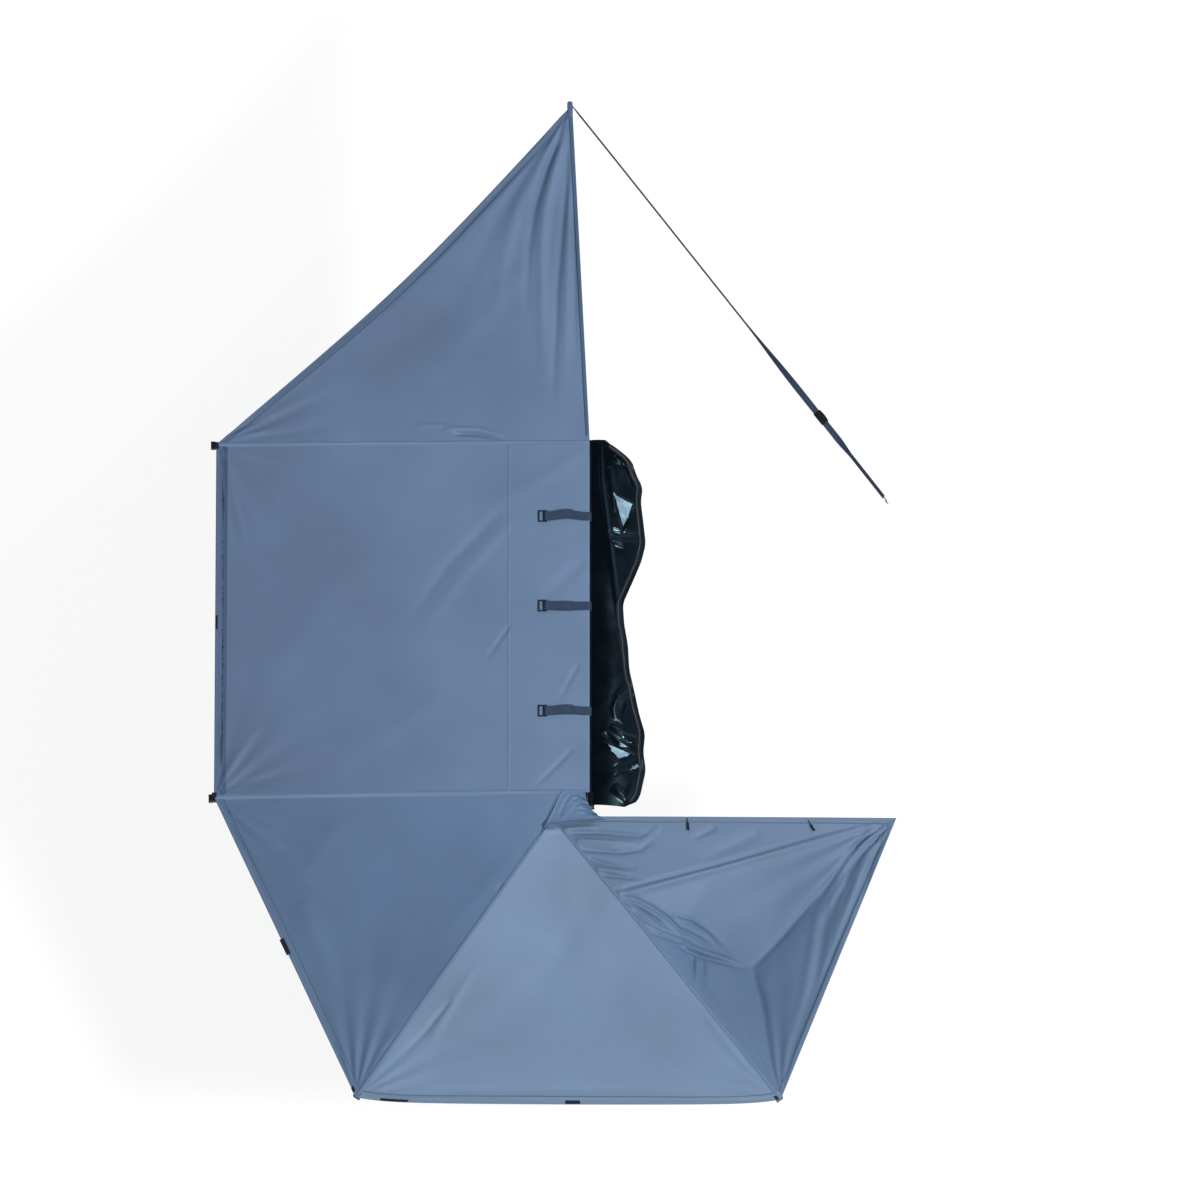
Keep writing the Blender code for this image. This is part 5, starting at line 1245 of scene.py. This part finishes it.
def cam_buckle(way, sideways, lift):
    """The cam buckle on the strap: a tray and two cheeks, with a thumb lever between them.

    Each part is an outline in way and lift, carried straight sideways, and its edges are bevelled.
    """
    at = tension_line(np.array([BUCKLE_SHARE]))[0] + lift * 0.0018
    tray = ((-0.040, 0.0), (0.040, 0.0), (0.040, 0.0025), (-0.040, 0.0025))
    cheek = ((-0.036, 0.0), (0.034, 0.0), (0.034, 0.006), (0.012, 0.0155), (-0.006, 0.0155), (-0.036, 0.006))
    lever = ((-0.034, 0.0085), (0.006, 0.0150), (0.012, 0.0165), (0.010, 0.0120), (0.002, 0.0045), (-0.034, 0.0055))
    profiles = (
        (tray, -0.0215, 0.0215), (cheek, -0.0225, -0.0185), (cheek, 0.0185, 0.0225), (lever, -0.0170, 0.0170),
    )
    shells = []
    axes = np.tile(way, (2, 1)), np.tile(lift, (2, 1))
    for number, (outline, low, high) in enumerate(profiles):
        ends = at + sideways * np.array([[low], [high]])
        shells.append(swept(f"cam_buckle_{number}", ends, *axes, np.array(outline), "nylon"))
    buckle = joined("cam_buckle", shells)
    soften = buckle.modifiers.new("Edges", "BEVEL")
    soften.width, soften.segments, soften.limit_method = 0.0008, 2, "ANGLE"
    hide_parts("tension_buckle")
    return buckle


def strap_hook(way, sideways, lift):
    """The wire hook: a shank out of the strap's sewn end, then an arc that is open at its inner side."""
    bend = np.linspace(np.pi / 2, -np.pi * 0.80, 28)
    shank = np.stack([np.linspace(-0.030, 0.0, 8), np.full(8, HOOK_RADIUS)], -1)
    round_ = np.stack([HOOK_RADIUS * np.cos(bend), HOOK_RADIUS * np.sin(bend)], -1)
    outline = np.concatenate([shank[:-1], round_])
    base = TENSION_END + way * HOOK_REACH - lift * HOOK_RADIUS
    wire = base + way * outline[:, :1] + lift * outline[:, 1:]
    flat_way = np.broadcast_to(sideways, wire.shape)
    square = np.cross(unit(np.gradient(wire, axis=0)), flat_way)
    hook = swept("hook_wire", wire, flat_way, square, round_section(HOOK_WIRE, 14), "zinc", True)
    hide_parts("tension_hook")
    return hook


def build_tension_strap():
    """The strap from the front arm's tip, turned on edge by the wind, with its cam buckle and hook."""
    sizes = bpy.context.scene.awning_sizes
    t = np.linspace(0, 1, 161)
    path = tension_line(t)
    across, up = frames(path)
    ease = lambda a, b: eased(np.clip((t - a) / (b - a), 0, 1))
    # It runs on edge, lies flat into the buckle, and turns most of the way back behind it
    turn = (np.pi / 2 * (1 - ease(0.55, 0.80) + 0.80 * ease(0.830, 0.900)))[:, None]
    side, top = across * np.cos(turn) + up * np.sin(turn), up * np.cos(turn) - across * np.sin(turn)
    # The end that is sewn in at the tip is folded to a third of the width
    side = side * mixed(0.32, 1.0, ease(0.004, 0.030))[:, None]
    section = flat_section(sizes.tension, 0.0022)
    strap = swept("tension_strap_webbing", path, side, top, section, "worn_webbing")
    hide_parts("tension_strap")

    way = unit(TENSION_END - TENSION_START)
    sideways = unit(np.cross((0, 0, 1), way))
    lift = np.cross(way, sideways)
    buckle = cam_buckle(way, sideways, lift)
    hook = strap_hook(way, sideways, lift)
    # The strap, its buckle and its hook ride the front arm, each with a mesh of its own
    for piece in (strap, buckle, hook):
        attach(piece, "front_arm")
        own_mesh(piece)


def sew_pockets():
    """The corners' pockets: one over the front arm's cap and the strap's root, and two open hoods.

    The front one's section is a ring squared off by |wave|^0.45, grown and shrunk along the arm. A
    hood goes level over its arm, and drops at both sides by a power of 1.5 and at its two ends.
    """
    y = np.array([2.930, 2.950, 2.975, 3.000, 3.012, 3.019, 3.0235, 3.0245])
    grow = np.array([0.72, 0.90, 1.0, 1.0, 0.98, 0.90, 0.60, 0.10])
    turn = np.linspace(0, 2 * np.pi, 48, endpoint=False)
    square = lambda wave: np.sign(wave) * np.abs(wave) ** 0.45
    across, rise = 0.0152 * square(np.cos(turn)), 0.0170 * square(np.sin(turn))
    centre = FRONT_PIVOT[0] + math.cos(math.radians(BEARINGS[0])) * (y - FRONT_PIVOT[1])
    points = np.stack(np.broadcast_arrays(
        centre[:, None] + across * grow[:, None], y[:, None], 0.1106 + rise * grow[:, None]
    ), -1)
    uv = np.stack(np.broadcast_arrays((y - y[0])[:, None], np.linspace(0, 0.09, 48)[None, :]), -1)
    pocket = woven("front_corner_pocket", points, "hem", uv, 0.0008, closed=True)
    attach(pocket, "front_arm")
    for name, number, material in (("third", 3, "hem_shaded"), ("fourth", 4, "hem_pale")):
        run = REACHES[number] + np.array([-0.060, -0.045, -0.030, -0.012, -0.003, 0.0022, 0.0035])
        hood = np.array([0.80, 0.96, 1.0, 1.0, 1.0, 0.93, 0.60])
        t = np.linspace(-1, 1, 41)
        over = np.sign(t) * np.minimum(1, 1.6 * np.abs(t)) * 0.0200
        drop = -0.020 * np.clip((np.abs(t) - 0.55) / 0.45, 0, 1) ** 1.5
        way, right = heading(BEARINGS[number]), right_of(BEARINGS[number])
        plan = HUB_PIVOT + way * run[:, None, None] + right * (over[None, :] * hood[:, None])[..., None]
        top = ARM_TOPS[number] + CLOTH_LIFT + 0.0030 + drop[None, :] - 0.030 * (1 - hood[:, None])
        points = np.concatenate([plan, top[..., None]], -1)
        uv = np.stack(np.broadcast_arrays((run - run[0])[:, None], np.linspace(0, 0.08, 41)[None, :]), -1)
        pocket = woven(f"{name}_corner_pocket", points, material, uv, 0.0008)
        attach(pocket, f"arm_{number}")


def sew_tabs(surfaces):
    """Tabs and a bare patch on the hems: rectangles on the panel, lower by a sixth power at their rims."""
    # Panel, u and v of the middle, depth across the hem and width along it
    tabs = (
        ("tab_first_corner", "side", 1.0000, 0.006, 0.026, 0.028),
        ("tab_second_corner", "side", 1.0000, 0.994, 0.026, 0.028),
        ("tab_side_hem", "side", 0.9965, 0.505, 0.012, 0.080),
        ("tab_rear_left_hem", "rear_left", 0.9985, 0.500, 0.026, 0.096),
        ("tab_rear_left_end", "rear_left", 0.9970, 0.978, 0.018, 0.030),
        ("tab_rear_hem", "rear", 0.9930, 0.510, 0.020, 0.078),
        ("patch_rear_hem", "rear", 0.9960, 0.095, 0.014, 0.150),
        ("tab_fourth_corner", "rear", 0.9940, 0.992, 0.020, 0.020),
    )
    for name, panel, u0, v0, deep, wide in tabs:
        surface = surfaces[panel]
        s, t = np.meshgrid(np.linspace(-0.5, 0.5, 9), np.linspace(-0.5, 0.5, 13), indexing="ij")
        length = float(lengths(surface, np.array([0.5]))[0])
        across = float(widths(surface, np.array([1.0]))[0])
        u, v = u0 + s * deep / length, v0 + t * wide / across
        round_off = 0.0006 * (1 - np.maximum(np.abs(2 * s), np.abs(2 * t)) ** 6)
        uv = np.stack([t * wide, s * deep], -1)
        laid_band(name, surface(u, v), 0.0052 + round_off, uv, "webbing", panel, 0.0014)


def tie_toggles(tail):
    """Two toggles on the tail's free edge, at an X and on a bearing: a bar, waisted in its middle, on a loop."""
    for number, (x, turn) in enumerate(((0.481, -1.45), (1.134, -1.05))):
        u = np.linspace(0, 1, 2001)
        edge = tail(u, np.full_like(u, 0.985))
        start = edge[np.argmin(np.abs(edge[:, 0] - x))]
        t = np.linspace(0, 1, 13)[:, None]
        down = np.array([math.cos(turn), math.sin(turn), 0.0])
        loop = start + down * 0.030 * t + np.array([0, 0, 0.006]) * np.sin(np.pi * t) + np.array([0, 0, 0.006])
        across, up = frames(loop)
        cord = swept(f"toggle_{number}_loop", loop, across, up, round_section(0.0022, 8), "rubber", True)
        bar = loop[-1] + down * np.linspace(-0.004, 0.040, 15)[:, None]
        across, up = frames(bar)
        shape = np.interp(np.linspace(0, 1, 15), [0, 0.12, 0.5, 0.88, 1.0], [0.4, 1.0, 0.8, 1.0, 0.4])
        across, up = across * shape[:, None], up * shape[:, None]
        body = swept(f"toggle_{number}_body", bar, across, up, round_section(0.0065), "nylon", True)
        toggle = joined(("toggle_left", "toggle_right")[number], [cord, body])
        packed_away(toggle, "tail")


def build_trim():
    """Pockets at the corners, tabs at the corners and hems, and two toggles on the tail's free edge."""
    surfaces = canopy_panels()
    sew_pockets()
    sew_tabs(surfaces)
    tie_toggles(surfaces["tail"])


# ---------------------------------------------------------------- frame finishes and stage


def finish_frame():
    """Gives every CAD node a finish by its name: the first word found in it counts."""
    kinds = (
        ("channel", "black_anodised"), ("front_arm_tube", "black_anodised"), ("mount_rail", "black_anodised"),
        ("_tube", "anodised"), ("_inner", "anodised"), ("_foot", "rubber"), ("_lock", "nylon"), ("_tip", "nylon"),
        ("_knuckle", "nylon"), ("rail_end_cap", "nylon"), ("closing_buckle", "nylon"), ("cover_zip", "nylon"),
        ("keder_bead", "rubber"), ("tension_hook", "zinc"), ("pivot_pin", "zinc"),
        ("bracket", "powder_coat"), ("strap", "webbing"), ("canopy", "canvas"), ("cover", "cover"),
        ("tension_buckle", "nylon"),
    )
    for name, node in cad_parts.items():
        kind = next(material for word, material in kinds if word in name)
        if not node.data.materials:
            node.data.materials.append(finish(kind))
        for slot in node.material_slots:
            slot.material = finish(kind)


def lay_floor(scene):
    """The floor: a grey that takes the shadows, and that glows white to the camera and in reflections."""
    mesh = bpy.data.meshes.new("floor")
    corners = [(x, y, -RACK_HEIGHT) for x, y in ((-60, -60), (60, -60), (60, 60), (-60, 60))]
    mesh.from_pydata(corners, [], [(0, 1, 2, 3)])
    floor = bpy.data.objects.new("floor", mesh)
    scene.collection.objects.link(floor)
    paper, shader = bare("white_paper_floor", 0.9, Base_Color=linear("#808080"), Specular_IOR_Level=0.0)
    glow = put(paper, "Emission", Strength=0.86)
    seen = put(paper, "LightPath")
    direct = 0.0
    for kind in ("Is Camera Ray", "Is Glossy Ray", "Is Transmission Ray"):
        direct = put(paper, "Math", {"operation": "MAXIMUM"}, {0: direct, 1: seen.outputs[kind]}).outputs[0]
    both = put(paper, "AddShader", inputs={0: shader.outputs[0], 1: glow.outputs[0]})
    pick = put(paper, "MixShader", inputs={0: direct, 1: shader.outputs[0], 2: both.outputs[0]})
    paper.node_tree.links.new(pick.outputs[0], paper.node_tree.nodes["Material Output"].inputs["Surface"])
    mesh.materials.append(paper)


def light_world(scene):
    """The world: white to the camera, a dim sky for diffuse light and a blue one for reflections."""
    world = bpy.data.worlds.new("studio")
    scene.world = world
    world.use_nodes = True
    back = world.node_tree.nodes["Background"]
    back.inputs["Color"].default_value = (0.93, 0.96, 1.0, 1.0)
    back.inputs["Strength"].default_value = 0.42
    seen = put(world, "LightPath")
    white = put(world, "Background", Color=(1.0, 1.0, 1.0, 1.0), Strength=1.0)
    # What shines sees a blue sky that darkens overhead
    above = put(world, "SeparateXYZ", inputs={0: put(world, "TexCoord").outputs["Generated"]})
    sky = put(world, "MapRange", Value=above.outputs["Z"], From_Min=0.10, From_Max=0.75, To_Min=1.0, To_Max=0.12)
    blue = put(world, "Background", Color=(0.55, 0.76, 1.0, 1.0), Strength=sky.outputs[0])
    pick = back
    for kind, view in (("Is Glossy Ray", blue), ("Is Camera Ray", white)):
        pick = put(world, "MixShader", inputs={0: seen.outputs[kind], 1: pick.outputs[0], 2: view.outputs[0]})
    world.node_tree.links.new(pick.outputs[0], world.node_tree.nodes["World Output"].inputs["Surface"])


def set_lamps(scene):
    """A soft key lamp from the right, and a smaller one whose glint the cover shows."""
    # Size, power, tint, direction from the awning and the point that it looks at
    for name, size, power, tint, way, target in (
        ("key", 2.2, 2650.0, (1.0, 0.985, 0.96), unit(np.array([0.46, -0.44, 0.77])), (0.0, 0.1, 0.0)),
        ("gloss", 1.6, 620.0, (1.0, 1.0, 1.0), np.array([0.531, 0.146, 0.835]), (0.1, 0.0, 0.0)),
    ):
        light = bpy.data.lights.new(name, "AREA")
        light.shape, light.size, light.energy, light.color = "SQUARE", size, power, tint
        lamp = bpy.data.objects.new(name, light)
        lamp.location = way * 20.0
        scene.collection.objects.link(lamp)
        aim(lamp, target)


def build_stage():
    """A pale floor and backdrop, the lamps, and the camera far off and high over the awning."""
    scene = bpy.context.scene
    scene.view_settings.view_transform = "Standard"
    lay_floor(scene)
    light_world(scene)
    set_lamps(scene)
    lens = bpy.data.cameras.new("camera")
    lens.sensor_width, lens.lens = 36.0, 1667.0
    lens.clip_start, lens.clip_end = 1.0, 900.0
    camera = bpy.data.objects.new("camera", lens)
    camera.location = (0.011, -107.37, 280.22)
    scene.collection.objects.link(camera)
    aim(camera, (0.011, 0.130, 0.12))
    scene.camera = camera


def aim(thing, target):
    """Turns a lamp or camera to look at a point."""
    bpy.context.view_layer.update()
    way = Vector(target) - thing.location
    thing.rotation_euler = way.to_track_quat("-Z", "Y").to_euler()


# ---------------------------------------------------------------- add-on


class AWNING_OT_canopy(bpy.types.Operator):
    """Hangs the five cloth panels"""

    bl_idname = "awning.canopy"
    bl_label = "Canopy panels"

    def execute(self, context):
        build_canopy()
        return {"FINISHED"}


class AWNING_OT_seams(bpy.types.Operator):
    """Sews the hems and the felled seams"""

    bl_idname = "awning.seams"
    bl_label = "Hems and seams"

    def execute(self, context):
        build_seams()
        return {"FINISHED"}


class AWNING_OT_gather(bpy.types.Operator):
    """Gathers the cloth round the hub"""

    bl_idname = "awning.gather"
    bl_label = "Hub gather"

    def execute(self, context):
        build_gather()
        return {"FINISHED"}


class AWNING_OT_cover(bpy.types.Operator):
    """Lays the opened cover and its zip inboard of the rail"""

    bl_idname = "awning.cover"
    bl_label = "Cover and zip"

    def execute(self, context):
        build_cover()
        return {"FINISHED"}


class AWNING_OT_closing_straps(bpy.types.Operator):
    """Lays the three closing straps over the cloth"""

    bl_idname = "awning.closing_straps"
    bl_label = "Closing straps"

    def execute(self, context):
        build_closing_straps()
        return {"FINISHED"}


class AWNING_OT_tension_strap(bpy.types.Operator):
    """Runs the tension strap with its cam buckle and hook"""

    bl_idname = "awning.tension_strap"
    bl_label = "Tension strap"

    def execute(self, context):
        build_tension_strap()
        return {"FINISHED"}


class AWNING_OT_trim(bpy.types.Operator):
    """Adds the corner tabs, hem tabs and toggles"""

    bl_idname = "awning.trim"
    bl_label = "Tabs and toggles"

    def execute(self, context):
        build_trim()
        return {"FINISHED"}


class AWNING_OT_frame(bpy.types.Operator):
    """Finishes the rail, brackets, arms and legs"""

    bl_idname = "awning.frame"
    bl_label = "Frame finishes"

    def execute(self, context):
        finish_frame()
        return {"FINISHED"}


class AWNING_OT_stage(bpy.types.Operator):
    """Sets the floor, the light and the camera"""

    bl_idname = "awning.stage"
    bl_label = "Stage"

    def execute(self, context):
        build_stage()
        return {"FINISHED"}


OPERATORS = (
    AWNING_OT_stage, AWNING_OT_tension_strap, AWNING_OT_canopy, AWNING_OT_seams, AWNING_OT_gather,
    AWNING_OT_cover, AWNING_OT_closing_straps, AWNING_OT_trim, AWNING_OT_frame,
)


class AWNING_PT_sidebar(bpy.types.Panel):
    """Lists the awning's sizes, colours and steps"""

    bl_idname = "AWNING_PT_sidebar"
    bl_label = "Awning"
    bl_space_type = "VIEW_3D"
    bl_region_type = "UI"
    bl_category = "Awning"

    def draw(self, context):
        for group in (context.scene.awning_sizes, context.scene.awning_colours):
            for name in group.__annotations__:
                self.layout.prop(group, name)
        for operator in OPERATORS:
            self.layout.operator(operator.bl_idname)


CLASSES = (AwningSizes, AwningColours, *OPERATORS, AWNING_PT_sidebar)


def register():
    for each in CLASSES:
        bpy.utils.register_class(each)
    bpy.types.Scene.awning_sizes = PointerProperty(type=AwningSizes)
    bpy.types.Scene.awning_colours = PointerProperty(type=AwningColours)


def unregister():
    del bpy.types.Scene.awning_colours
    del bpy.types.Scene.awning_sizes
    for each in reversed(CLASSES):
        bpy.utils.unregister_class(each)


def main():
    register()
    for operator in OPERATORS:
        group, name = operator.bl_idname.split(".")
        getattr(getattr(bpy.ops, group), name)()


if __name__ == "__main__":
    main()
